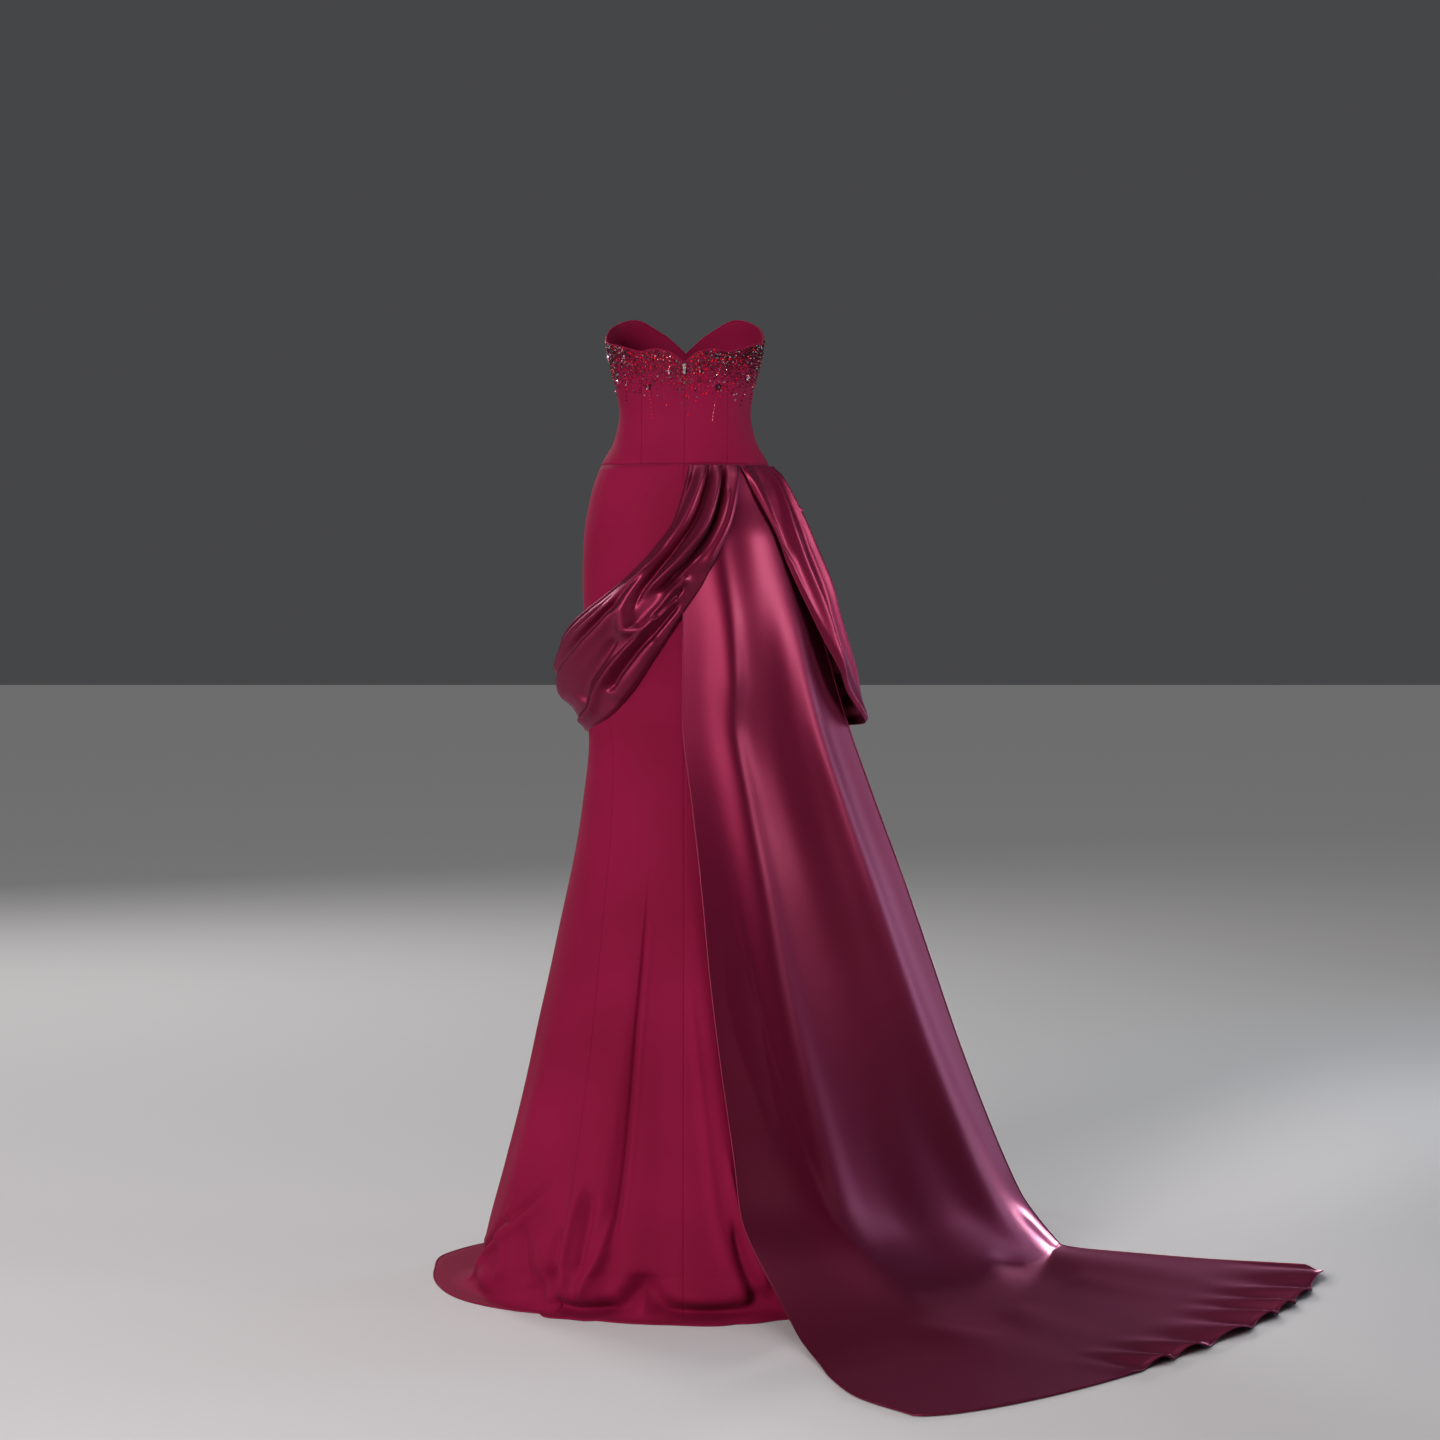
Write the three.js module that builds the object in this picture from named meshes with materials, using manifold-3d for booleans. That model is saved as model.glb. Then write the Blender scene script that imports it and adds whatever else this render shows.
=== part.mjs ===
// A strapless mermaid gown: a boned crepe bodice with a scalloped back, a long fluted skirt that
// breaks on the floor, a satin swag wrapped low round the hips, and a satin train at the back right.
// Millimetres. +Z is up, +Y is the way the wearer faces and +X is the wearer's right. The origin is
// the centre of the waist, where the wearer holds the gown up. Heights in the tables are above the
// floor, and angles go round the body in degrees: 0 at the centre back, 90 at the wearer's right.
import * as THREE from "three";
import { mergeVertices } from "three/addons/utils/BufferGeometryUtils.js";
import Module from "manifold-3d";

const waistHeight = 1305;
const hipSeamHeight = 1229;
const crepeWall = 2;
const satinWall = 1.6;
const seamGap = 0.3;
const breakHeight = 60; // below this the skirt folds over and lies out on the floor
const floorClearance = 0.4; // keeps the train's underside just off a hem that it crosses

// The gown's sections: half the width, and how far the back and the front stand off the middle.
const sections = [
  { height: 0, side: 312, back: 262, front: 262 },
  { height: 82, side: 297, back: 247, front: 248 },
  { height: 187, side: 267, back: 229, front: 227 },
  { height: 307, side: 237, back: 204, front: 203 },
  { height: 427, side: 212, back: 181, front: 180 },
  { height: 547, side: 187, back: 156, front: 156 },
  { height: 667, side: 162, back: 133, front: 136 },
  { height: 727, side: 153, back: 124, front: 124 },
  { height: 817, side: 144, back: 114, front: 114 },
  { height: 927, side: 149, back: 118, front: 111 },
  { height: 1057, side: 153.5, back: 122, front: 108 },
  { height: 1117, side: 152, back: 120, front: 106 },
  { height: 1177, side: 143, back: 113, front: 102 },
  { height: 1229, side: 126, back: 101, front: 97 },
  { height: 1267, side: 106, back: 86, front: 90 },
  { height: 1305, side: 98.5, back: 80, front: 86 },
  { height: 1342, side: 103.5, back: 83, front: 97 },
  { height: 1402, side: 116, back: 88, front: 108 },
  { height: 1470, side: 124, back: 93, front: 110 },
];

// The bodice's top edge, from the centre back dip over two scallops to the sweetheart front.
const topEdge = [
  { angle: 0, height: 1378 },
  { angle: 5, height: 1386 },
  { angle: 11, height: 1394 },
  { angle: 22, height: 1398.5 },
  { angle: 34, height: 1395.5 },
  { angle: 45, height: 1400 },
  { angle: 62, height: 1407 },
  { angle: 82, height: 1412 },
  { angle: 100, height: 1424 },
  { angle: 122, height: 1443 },
  { angle: 143, height: 1454 },
  { angle: 164, height: 1434 },
  { angle: 180, height: 1404 },
];

// Each cup is a round fullness sewn in at the front princess seam.
const cup = { angle: 141, height: 1398, halfAngle: 27, halfHeight: 46, fullness: 25 };

const backSeamFromCentre = 64; // the back princess seams run this far from the centre back
const frontSeamFromCentre = 82;

// The skirt's side back seams swing towards the back as they go down.
const sideBackSeam = [
  { height: 0, angle: 36 },
  { height: 300, angle: 37 },
  { height: 660, angle: 42.5 },
  { height: 860, angle: 50 },
  { height: 1040, angle: 60.5 },
  { height: 1229, angle: 68 },
];
const frontSkirtSeam = 140;

// Flutes of the skirt: soft ridges and troughs that deepen from where they start to the floor.
const flutes = [
  { topAngle: -17, hemAngle: -22, halfAngle: 3.4, depth: -10, start: 650 },
  { topAngle: -26, hemAngle: -30, halfAngle: 6, depth: 5, start: 600 },
  { topAngle: -1, hemAngle: 20, halfAngle: 6, depth: 10, start: 760 },
  { topAngle: -9, hemAngle: -6, halfAngle: 7, depth: -5, start: 640 },
  { topAngle: -47, hemAngle: -50, halfAngle: 8, depth: -6, start: 700 },
  { topAngle: -66, hemAngle: -68, halfAngle: 9, depth: 4, start: 560 },
  { topAngle: -112, hemAngle: -116, halfAngle: 11, depth: -8, start: 640 },
  { topAngle: -150, hemAngle: -152, halfAngle: 12, depth: 8, start: 600 },
  { topAngle: 178, hemAngle: 176, halfAngle: 11, depth: -7, start: 620 },
  { topAngle: 148, hemAngle: 150, halfAngle: 12, depth: 8, start: 600 },
];

// How far from the body's middle the hem lies on the floor.
const hemOutline = [
  { angle: -180, radius: 300 },
  { angle: -166, radius: 330 },
  { angle: -152, radius: 392 },
  { angle: -137, radius: 446 },
  { angle: -121, radius: 438 },
  { angle: -106, radius: 400 },
  { angle: -90, radius: 371 },
  { angle: -73, radius: 345 },
  { angle: -54, radius: 305 },
  { angle: -36, radius: 271 },
  { angle: -22, radius: 275 },
  { angle: -5, radius: 274 },
  { angle: 10, radius: 284 },
  { angle: 22, radius: 272 },
  { angle: 50, radius: 290 },
  { angle: 90, radius: 335 },
  { angle: 135, radius: 322 },
  { angle: 180, radius: 300 },
];

// Breaks of the hem: where the skirt's foot bellies out over the cloth on the floor.
const breaks = [
  { angle: 5, halfAngle: 15, belly: 18, tuck: 14 },
  { angle: -24, halfAngle: 6, belly: 16, tuck: 14 },
  { angle: -36, halfAngle: 5, belly: 20, tuck: 14 },
  { angle: -70, halfAngle: 10, belly: 13, tuck: 8 },
  { angle: 34, halfAngle: 9, belly: 12, tuck: 12 },
  { angle: 70, halfAngle: 12, belly: 9, tuck: 8 },
  { angle: 112, halfAngle: 13, belly: 10, tuck: 10 },
  { angle: 158, halfAngle: 11, belly: 12, tuck: 12 },
  { angle: -166, halfAngle: 12, belly: 12, tuck: 12 },
  { angle: -122, halfAngle: 10, belly: 8, tuck: 6 },
];
const bellyElsewhere = 3;
const leastSpread = 4; // the hem lies at least this far out beyond the belly
const fullTuck = 12; // a tuck of this much or more folds the cloth right under its belly

// The train's sections down its run: its left edge, its right edge, and how far it bows out
// between them. From the row at floor height on it lies on the floor.
const trainSections = [
  { run: 0, height: 1227, leftX: 8, leftY: -106, rightX: 130, rightY: 16, bow: 34 },
  { run: 110, height: 1117, leftX: 3, leftY: -126, rightX: 164, rightY: 12, bow: 50 },
  { run: 222, height: 1010, leftX: -1, leftY: -130, rightX: 196, rightY: 12, bow: 50 },
  { run: 375, height: 855, leftX: -2, leftY: -126, rightX: 240, rightY: 16, bow: 42 },
  { run: 505, height: 727, leftX: 12, leftY: -133, rightX: 285, rightY: 30, bow: 36 },
  { run: 630, height: 603, leftX: 26, leftY: -152, rightX: 331, rightY: 50, bow: 34 },
  { run: 757, height: 479, leftX: 38, leftY: -176, rightX: 374, rightY: 75, bow: 32 },
  { run: 885, height: 354, leftX: 54, leftY: -202, rightX: 417, rightY: 100, bow: 32 },
  { run: 1015, height: 226, leftX: 73, leftY: -231, rightX: 466, rightY: 130, bow: 34 },
  { run: 1097, height: 150, leftX: 83, leftY: -262, rightX: 498, rightY: 150, bow: 37 },
  { run: 1160, height: 100, leftX: 105, leftY: -292, rightX: 522, rightY: 172, bow: 40 },
  { run: 1222, height: 62, leftX: 129, leftY: -335, rightX: 548, rightY: 195, bow: 46 },
  { run: 1288, height: 34, leftX: 149, leftY: -392, rightX: 569, rightY: 220, bow: 54 },
  { run: 1356, height: 16, leftX: 166, leftY: -455, rightX: 583, rightY: 240, bow: 64 },
  { run: 1429, height: 6, leftX: 185, leftY: -525, rightX: 592, rightY: 255, bow: 78 },
  { run: 1506, height: 2, leftX: 200, leftY: -600, rightX: 645, rightY: 240, bow: 92 },
  { run: 1598, height: 2, leftX: 226, leftY: -690, rightX: 768, rightY: 191, bow: 110 },
  { run: 1726, height: 2, leftX: 296, leftY: -792, rightX: 957, rightY: 124, bow: 128 },
];
const trainFloorRun = 1429;
const trainEndRun = 1726;
const trainSewnFrom = 4; // bearings at the hip seam between which its top is sewn in
const trainSewnTo = 98;
const trainOffSkirt = 3; // how far its free cloth stands off the skirt

// Folds of the train: ridges that run down the cloth, placed across it from left 0 to right 1.
const trainFolds = [
  { top: 0.18, foot: 0.3, halfWidth: 0.075, depth: 11, swell: 5 },
  { top: 0.4, foot: 0.5, halfWidth: 0.1, depth: -13, swell: 0 },
  { top: 0.66, foot: 0.88, halfWidth: 0.09, depth: 15, swell: 14 },
];
// Ripples of the train's end: their count, how far they shift it out and lift it off the floor.
const trainHem = { waves: 11, phase: -0.1, unevenness: 1.2, shift: 6, lift: 13, from: 0.28, reach: 110 };

// The swag's stations, from its left end at the hip seam round the left side, the front and the
// right side back to the hip seam. At each, where its upper and lower edges lie round the body,
// how high, how far off the skirt, and how far the cloth between them puffs out.
const swagStations = [
  { at: 0, upAngle: 3, upHeight: 1227, upOut: 4.2, lowAngle: 38, lowHeight: 1227, lowOut: 4.2, puff: 1 },
  { at: 1, upAngle: -1, upHeight: 1187, upOut: 7, lowAngle: 32, lowHeight: 1190, lowOut: 8, puff: 9 },
  { at: 2, upAngle: -6, upHeight: 1145, upOut: 9, lowAngle: 26, lowHeight: 1148, lowOut: 12, puff: 14 },
  { at: 3, upAngle: -15, upHeight: 1108, upOut: 10, lowAngle: 19.5, lowHeight: 1107, lowOut: 14, puff: 17 },
  { at: 4, upAngle: -27, upHeight: 1072, upOut: 11, lowAngle: 11, lowHeight: 1057, lowOut: 15, puff: 19 },
  { at: 5, upAngle: -44, upHeight: 1035, upOut: 14, lowAngle: 0, lowHeight: 1009, lowOut: 13, puff: 21 },
  { at: 6, upAngle: -62, upHeight: 1008, upOut: 18, lowAngle: -15, lowHeight: 947, lowOut: 8, puff: 22 },
  { at: 7, upAngle: -80, upHeight: 984, upOut: 24, lowAngle: -32, lowHeight: 888, lowOut: 6, puff: 22 },
  { at: 8, upAngle: -96, upHeight: 966, upOut: 28, lowAngle: -53, lowHeight: 850, lowOut: 5, puff: 21 },
  { at: 9, upAngle: -117, upHeight: 957, upOut: 24, lowAngle: -84, lowHeight: 832, lowOut: 5, puff: 18 },
  { at: 10, upAngle: -145, upHeight: 956, upOut: 19, lowAngle: -122, lowHeight: 822, lowOut: 9, puff: 17 },
  { at: 11, upAngle: -172, upHeight: 962, upOut: 16, lowAngle: -158, lowHeight: 820, lowOut: 14, puff: 18 },
  { at: 12, upAngle: -194, upHeight: 976, upOut: 16, lowAngle: -190, lowHeight: 822, lowOut: 22, puff: 19 },
  { at: 13, upAngle: -211, upHeight: 1000, upOut: 16, lowAngle: -217, lowHeight: 826, lowOut: 46, puff: 21 },
  { at: 14, upAngle: -224, upHeight: 1032, upOut: 16, lowAngle: -243, lowHeight: 834, lowOut: 98, puff: 22 },
  { at: 15, upAngle: -233, upHeight: 1062, upOut: 15, lowAngle: -264, lowHeight: 842, lowOut: 135, puff: 18 },
  { at: 16, upAngle: -240, upHeight: 1092, upOut: 14, lowAngle: -274, lowHeight: 884, lowOut: 106, puff: 24 },
  { at: 17, upAngle: -246, upHeight: 1130, upOut: 12, lowAngle: -285, lowHeight: 975, lowOut: 64, puff: 24 },
  { at: 18, upAngle: -252, upHeight: 1172, upOut: 10, lowAngle: -299, lowHeight: 1078, lowOut: 28, puff: 12 },
  { at: 19, upAngle: -256, upHeight: 1204, upOut: 7, lowAngle: -312, lowHeight: 1160, lowOut: 14, puff: 5 },
  { at: 20, upAngle: -258, upHeight: 1227, upOut: 4.2, lowAngle: -321, lowHeight: 1227, lowOut: 4.2, puff: 1 },
];
const swagLeftSeam = 8.4; // the swag is pieced at the sides, where its stations pass these places
const swagRightSeam = 14.3;
const swagEnd = 20;
const swagPleats = [
  { across: 0.06, halfWidth: 0.035, rise: 5 },
  { across: 0.17, halfWidth: 0.045, rise: 7 },
  { across: 0.29, halfWidth: 0.05, rise: 7 },
  { across: 0.46, halfWidth: 0.07, rise: 7 },
  { across: 0.66, halfWidth: 0.06, rise: 8 },
  { across: 0.86, halfWidth: 0.07, rise: 6 },
];
const pleatsAtSeam = 0.45; // share of the pleats' rise that is left where the swag is sewn in
const puffTop = 1.25; // the swag puffs out more above its middle than below
const puffFoot = 0.75;

// The zip's slider sits at the top of the centre back seam with its pull hanging from its bridge.
const slider = {
  topDrop: 2.2, standOff: 0.4, width: 4.6, length: 8, thick: 1.4, crown: 1.2, footHalf: 1.656,
  footRound: 0.8,
};
const bridge = { width: 1.6, drop: 2.8, bore: 1, wall: 0.8 }; // drop is from the slider's top
const pull = {
  width: 4.4, length: 12.5, thick: 1, bar: 0.9, rail: 0.9, eyeLength: 2.9, neck: 2.6,
  neckDrop: 6.875, corner: 0.6, footInset: 0.3, footRise: 1.6, footRound: 1,
};

const radians = (degrees) => (degrees * Math.PI) / 180;
const bell = (distance, halfWidth) => Math.exp(-((distance / halfWidth) ** 2));
const mix = (a, b, share) => a + (b - a) * share;
const smoothStep = (t) => {
  const x = Math.min(1, Math.max(0, t));
  return x * x * (3 - 2 * x);
};
const around = (angle) => ((((angle + 180) % 360) + 360) % 360) - 180; // into -180 to 180

// A smooth curve through a table's rows that never swings past them.
function curve(rows, along, across) {
  const x = rows.map((row) => row[along]);
  const y = rows.map((row) => row[across]);
  const slope = x.slice(1).map((right, i) => (y[i + 1] - y[i]) / (right - x[i]));
  const tangent = x.map((_, i) => {
    if (i === 0) return slope[0];
    if (i === x.length - 1) return slope[i - 1];
    if (slope[i - 1] * slope[i] <= 0) return 0;
    return (2 * slope[i - 1] * slope[i]) / (slope[i - 1] + slope[i]);
  });
  return (at) => {
    const place = Math.min(x[x.length - 1], Math.max(x[0], at));
    let i = 0;
    while (i < x.length - 2 && place > x[i + 1]) i += 1;
    const step = x[i + 1] - x[i];
    const t = (place - x[i]) / step;
    const t2 = t * t;
    const t3 = t2 * t;
    return (
      y[i] * (2 * t3 - 3 * t2 + 1) +
      y[i + 1] * (3 * t2 - 2 * t3) +
      step * (tangent[i] * (t3 - 2 * t2 + t) + tangent[i + 1] * (t3 - t2))
    );
  };
}

const side = curve(sections, "height", "side");
const back = curve(sections, "height", "back");
const front = curve(sections, "height", "front");
const topHeight = curve(topEdge, "angle", "height");
const sideBackAngle = curve(sideBackSeam, "height", "angle");
const hemRadius = curve(hemOutline, "angle", "radius");

function fluteRise(angle, height) {
  return flutes.reduce((sum, flute) => {
    const down = Math.min(1, Math.max(0, 1 - height / flute.start));
    const middle = mix(flute.topAngle, flute.hemAngle, down);
    const spread = flute.halfAngle * mix(0.75, 1, down);
    return sum + flute.depth * smoothStep(down * 1.3) * bell(around(angle - middle), spread);
  }, 0);
}

function cupRise(angle, height) {
  const turn = Math.abs(around(angle)) - cup.angle;
  return cup.fullness * bell(turn, cup.halfAngle) * bell(height - cup.height, cup.halfHeight);
}

// A point of the gown's outer face at an angle and a height, moved out from it by an amount.
function gownPoint(angle, height, out = 0) {
  const sine = Math.sin(radians(angle));
  const cosine = Math.cos(radians(angle));
  const rise = out + fluteRise(angle, height) + (height > hipSeamHeight ? cupRise(angle, height) : 0);
  const depth = cosine > 0 ? back(height) : front(height);
  return new THREE.Vector3((side(height) + rise) * sine, -(depth + rise) * cosine, height);
}

// The skirt's outer face. Below the break height, fall counts down along the cloth as it
// bellies out, tucks under and lies out on the floor to its hem.
function skirtPoint(angle, fall) {
  if (fall >= breakHeight) return gownPoint(angle, fall);
  const foot = gownPoint(angle, breakHeight);
  const reach = Math.hypot(foot.x, foot.y);
  let belly = bellyElsewhere;
  let tuck = 0;
  for (const fold of breaks) {
    const near = bell(around(angle - fold.angle), fold.halfAngle);
    belly += fold.belly * near;
    tuck += fold.tuck * near;
  }
  const bearing = (Math.atan2(foot.x, -foot.y) * 180) / Math.PI;
  const spread = Math.max(hemRadius(bearing) - reach, belly + leastSpread);
  const tucked = Math.min(1, tuck / fullTuck);
  const rows = [
    { down: 0, out: 0, height: breakHeight },
    { down: 0.32, out: belly, height: 29 },
    { down: 0.56, out: mix(spread * 0.35, belly - tuck, tucked), height: 10 },
    { down: 0.76, out: mix(spread * 0.65, belly - tuck * 0.7, tucked), height: crepeWall + 1 },
    { down: 1, out: spread, height: crepeWall },
  ];
  const down = 1 - fall / breakHeight;
  const out = curve(rows, "down", "out")(down);
  const scale = (reach + out) / reach;
  return new THREE.Vector3(foot.x * scale, foot.y * scale, curve(rows, "down", "height")(down));
}

// Pushes a point out until it is clear of the gown by a margin.
function clearOfGown(point, margin) {
  const height = Math.max(point.z, 1);
  const depth = point.y < 0 ? back(height) : front(height);
  const angle = (Math.atan2(point.x / side(height), -point.y / depth) * 180) / Math.PI;
  const wall = gownPoint(angle, height, margin);
  const reach = Math.hypot(point.x, point.y) / Math.hypot(wall.x, wall.y);
  if (reach < 1) {
    point.x /= reach;
    point.y /= reach;
  }
  return point;
}

const columnsOf = (rows, along, keys) =>
  Object.fromEntries(keys.map((key) => [key, curve(rows, along, key)]));
const trainKeys = ["height", "leftX", "leftY", "rightX", "rightY", "bow"];
const trainColumn = columnsOf(trainSections, "run", trainKeys);

// Lengths of run over which the train comes free of the hip seam, its folds open, it settles on
// the floor and its swells die out, and how square its end is.
const trainBlend = { sewn: 110, folds: 380, floor: 130, swell: 300, squareness: 0.62 };

// A point of the train's outer face: across goes from its left edge 0 to its right edge 1.
function trainPoint(across, run) {
  const left = new THREE.Vector2(trainColumn.leftX(run), trainColumn.leftY(run));
  const right = new THREE.Vector2(trainColumn.rightX(run), trainColumn.rightY(run));
  const chord = right.clone().sub(left);
  const outward = new THREE.Vector2(chord.y, -chord.x).normalize();
  const onFloor = smoothStep((run - trainFloorRun + trainBlend.floor) / trainBlend.floor);
  const hanging = smoothStep((run - trainBlend.sewn) / trainBlend.folds) * (1 - onFloor);
  const swelling = smoothStep((trainEndRun - run) / trainBlend.swell);
  const nearEnd = smoothStep((run - trainEndRun + trainHem.reach) / trainHem.reach);
  const ripple = nearEnd * smoothStep((across - trainHem.from) / 0.12);
  const drift = trainHem.unevenness * Math.sin(2 * Math.PI * 2.7 * across);
  const turns = 2 * Math.PI * (trainHem.waves * across + trainHem.phase) + drift;
  const lyingShare = (run - trainFloorRun) / (trainEndRun - trainFloorRun);
  const squareness = mix(1, trainBlend.squareness, smoothStep(lyingShare));
  let out = trainColumn.bow(run) * Math.max(0, 4 * across * (1 - across)) ** squareness;
  out += trainHem.shift * ripple * Math.sin(turns);
  let lift = trainHem.lift * ripple * (0.5 + 0.5 * Math.sin(turns + 1));
  for (const fold of trainFolds) {
    const middle = mix(fold.top, fold.foot, run / trainFloorRun);
    out += fold.depth * hanging * bell(across - middle, fold.halfWidth);
    lift += fold.swell * onFloor * swelling * bell(across - fold.foot, fold.halfWidth);
  }
  const base = left.addScaledVector(chord, across).addScaledVector(outward, out);
  const height = Math.max(trainColumn.height(run), satinWall) + floorClearance + lift;
  const standOff = seamGap + satinWall;
  const sewn = gownPoint(mix(trainSewnFrom, trainSewnTo, across), height, standOff);
  const free = clearOfGown(new THREE.Vector3(base.x, base.y, height), standOff + trainOffSkirt);
  return sewn.lerp(free, smoothStep(run / trainBlend.sewn));
}

const swagKeys = ["upAngle", "upHeight", "upOut", "lowAngle", "lowHeight", "lowOut", "puff"];
const swagColumn = columnsOf(swagStations, "at", swagKeys);

// A point of the swag's outer face: down goes from its upper edge 0 to its lower edge 1.
function swagPoint(down, at) {
  const angle = mix(swagColumn.upAngle(at), swagColumn.lowAngle(at), down);
  const height = mix(swagColumn.upHeight(at), swagColumn.lowHeight(at), down);
  const fromSeam = Math.min(at, swagEnd - at);
  const loose = mix(pleatsAtSeam, 1, smoothStep(fromSeam / 2));
  let out = mix(swagColumn.upOut(at), swagColumn.lowOut(at), down);
  out += swagColumn.puff(at) * Math.max(0, Math.sin(Math.PI * down)) * mix(puffTop, puffFoot, down);
  for (const pleat of swagPleats) {
    out += pleat.rise * loose * bell(down - pleat.across, pleat.halfWidth);
  }
  const point = gownPoint(angle, height, out);
  point.z = height;
  return point;
}

// Outward normal of a surface given by a function of two parameters.
function normalAt(surface, a, b, stepA, stepB) {
  const alongA = surface(a + stepA, b).sub(surface(a - stepA, b));
  const alongB = surface(a, b + stepB).sub(surface(a, b - stepB));
  return alongA.cross(alongB).normalize();
}

// A closed wall of cloth: a grid of outer points, the same points moved in, and the four edges.
function clothWall(columns, rows, outerAt, innerAt) {
  const width = columns.length;
  const positions = [];
  for (const at of [outerAt, innerAt]) {
    for (const row of rows) {
      for (const column of columns) positions.push(...at(column, row).toArray());
    }
  }
  const layer = width * rows.length;
  const faces = [];
  const quad = (a, b, c, d) => faces.push(a, b, c, a, c, d);
  for (let r = 0; r < rows.length - 1; r += 1) {
    for (let c = 0; c < width - 1; c += 1) {
      const a = r * width + c;
      quad(a, a + width, a + width + 1, a + 1);
      quad(layer + a, layer + a + 1, layer + a + width + 1, layer + a + width);
    }
  }
  const rim = [];
  for (let c = 0; c < width - 1; c += 1) rim.push(c);
  for (let r = 0; r < rows.length - 1; r += 1) rim.push(r * width + width - 1);
  for (let c = width - 1; c > 0; c -= 1) rim.push((rows.length - 1) * width + c);
  for (let r = rows.length - 1; r > 0; r -= 1) rim.push(r * width);
  rim.forEach((a, i) => {
    const b = rim[(i + 1) % rim.length];
    quad(a, b, layer + b, layer + a);
  });
  const geometry = new THREE.BufferGeometry();
  geometry.setAttribute("position", new THREE.Float32BufferAttribute(positions, 3));
  geometry.setIndex(faces);
  geometry.computeVertexNormals();
  return geometry;
}

const gown = new THREE.Group();
gown.name = "mermaid_gown";
const worn = new THREE.Group(); // holds what is placed by its height above the floor
worn.position.z = -waistHeight;
gown.add(worn);

const finish = (name, color, roughness, metalness) =>
  new THREE.MeshStandardMaterial({ name, color, roughness, metalness });
const crepe = finish("crepe", 0x7d1636, 0.82, 0);
const satin = finish("satin", 0x6e1238, 0.3, 0.1);
const zipMetal = finish("zip_metal", 0xbdb8bc, 0.35, 0.8);

function addMesh(name, geometry, material) {
  const mesh = new THREE.Mesh(geometry, material);
  mesh.name = name;
  worn.add(mesh);
  return mesh;
}

const spaced = (from, to, count) => Array.from({ length: count + 1 }, (_, i) => mix(from, to, i / count));

// A bodice panel between two seams, each given as an angle for a height.
function addBodicePanel(name, fromSeam, toSeam, columnCount) {
  const shareRows = spaced(0, 1, 7);
  const gapAngle = (height) => (seamGap / 2 / side(height)) * (180 / Math.PI);
  const place = (share, down) => {
    const bottom = hipSeamHeight + seamGap / 2;
    let angle = mix(fromSeam(bottom), toSeam(bottom), share);
    let height = mix(topHeight(Math.abs(around(angle))), bottom, down);
    for (let pass = 0; pass < 4; pass += 1) {
      const low = fromSeam(height) + gapAngle(height);
      const high = toSeam(height) - gapAngle(height);
      angle = mix(low, high, share);
      height = mix(topHeight(Math.abs(around(angle))), bottom, down);
    }
    return { angle, height };
  };
  const outer = (share, down) => {
    const { angle, height } = place(share, down);
    return gownPoint(angle, height);
  };
  const inner = (share, down) => {
    const { angle, height } = place(share, down);
    const normal = normalAt(gownPoint, angle, height, 0.2, 0.5).setZ(0).normalize();
    return gownPoint(angle, height).addScaledVector(normal, -crepeWall);
  };
  addMesh(name, clothWall(spaced(0, 1, columnCount), shareRows, outer, inner), crepe);
}

const backSeam = (height) => (Math.asin(backSeamFromCentre / side(height)) * 180) / Math.PI;
const frontSeam = (height) => 180 - (Math.asin(frontSeamFromCentre / side(height)) * 180) / Math.PI;
const fixedAt = (angle) => () => angle;
const mirrored = (seam) => (height) => -seam(height);

addBodicePanel("bodice_back_left", mirrored(backSeam), fixedAt(0), 6);
addBodicePanel("bodice_back_right", fixedAt(0), backSeam, 6);
addBodicePanel("bodice_side_back_left", fixedAt(-90), mirrored(backSeam), 4);
addBodicePanel("bodice_side_back_right", backSeam, fixedAt(90), 4);
addBodicePanel("bodice_side_front_left", mirrored(frontSeam), fixedAt(-90), 5);
addBodicePanel("bodice_side_front_right", fixedAt(90), frontSeam, 5);
addBodicePanel("bodice_front", frontSeam, (height) => 360 - frontSeam(height), 8);

const skirtFalls = [
  hipSeamHeight - seamGap / 2, 1205, 1170, 1117, 1045, 960, 880, 817, 755, 700, 640, 580, 520,
  460, 400, 340, 280, 220, 165, 110, breakHeight, 41, 27, 14, 0,
];

function addSkirtPanel(name, fromSeam, toSeam, columnCount) {
  const place = (share, fall) => {
    const gap = (seamGap / 2 / side(fall)) * (180 / Math.PI);
    return mix(fromSeam(fall) + gap, toSeam(fall) - gap, share);
  };
  const outer = (share, fall) => skirtPoint(place(share, fall), fall);
  const inner = (share, fall) => {
    const angle = place(share, fall);
    const level = smoothStep((hipSeamHeight - fall) / 80);
    const normal = normalAt(skirtPoint, angle, Math.max(fall, 0.6), 0.2, 0.5);
    normal.z *= level;
    const point = skirtPoint(angle, fall).addScaledVector(normal.normalize(), -crepeWall);
    point.z = Math.max(point.z, 0);
    return point;
  };
  addMesh(name, clothWall(spaced(0, 1, columnCount), skirtFalls, outer, inner), crepe);
}

addSkirtPanel("skirt_back_left", mirrored(sideBackAngle), fixedAt(0), 15);
addSkirtPanel("skirt_back_right", fixedAt(0), sideBackAngle, 10);
addSkirtPanel("skirt_side_left", fixedAt(-frontSkirtSeam), mirrored(sideBackAngle), 11);
addSkirtPanel("skirt_side_right", sideBackAngle, fixedAt(frontSkirtSeam), 8);
addSkirtPanel("skirt_front", fixedAt(frontSkirtSeam), fixedAt(360 - frontSkirtSeam), 12);

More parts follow.
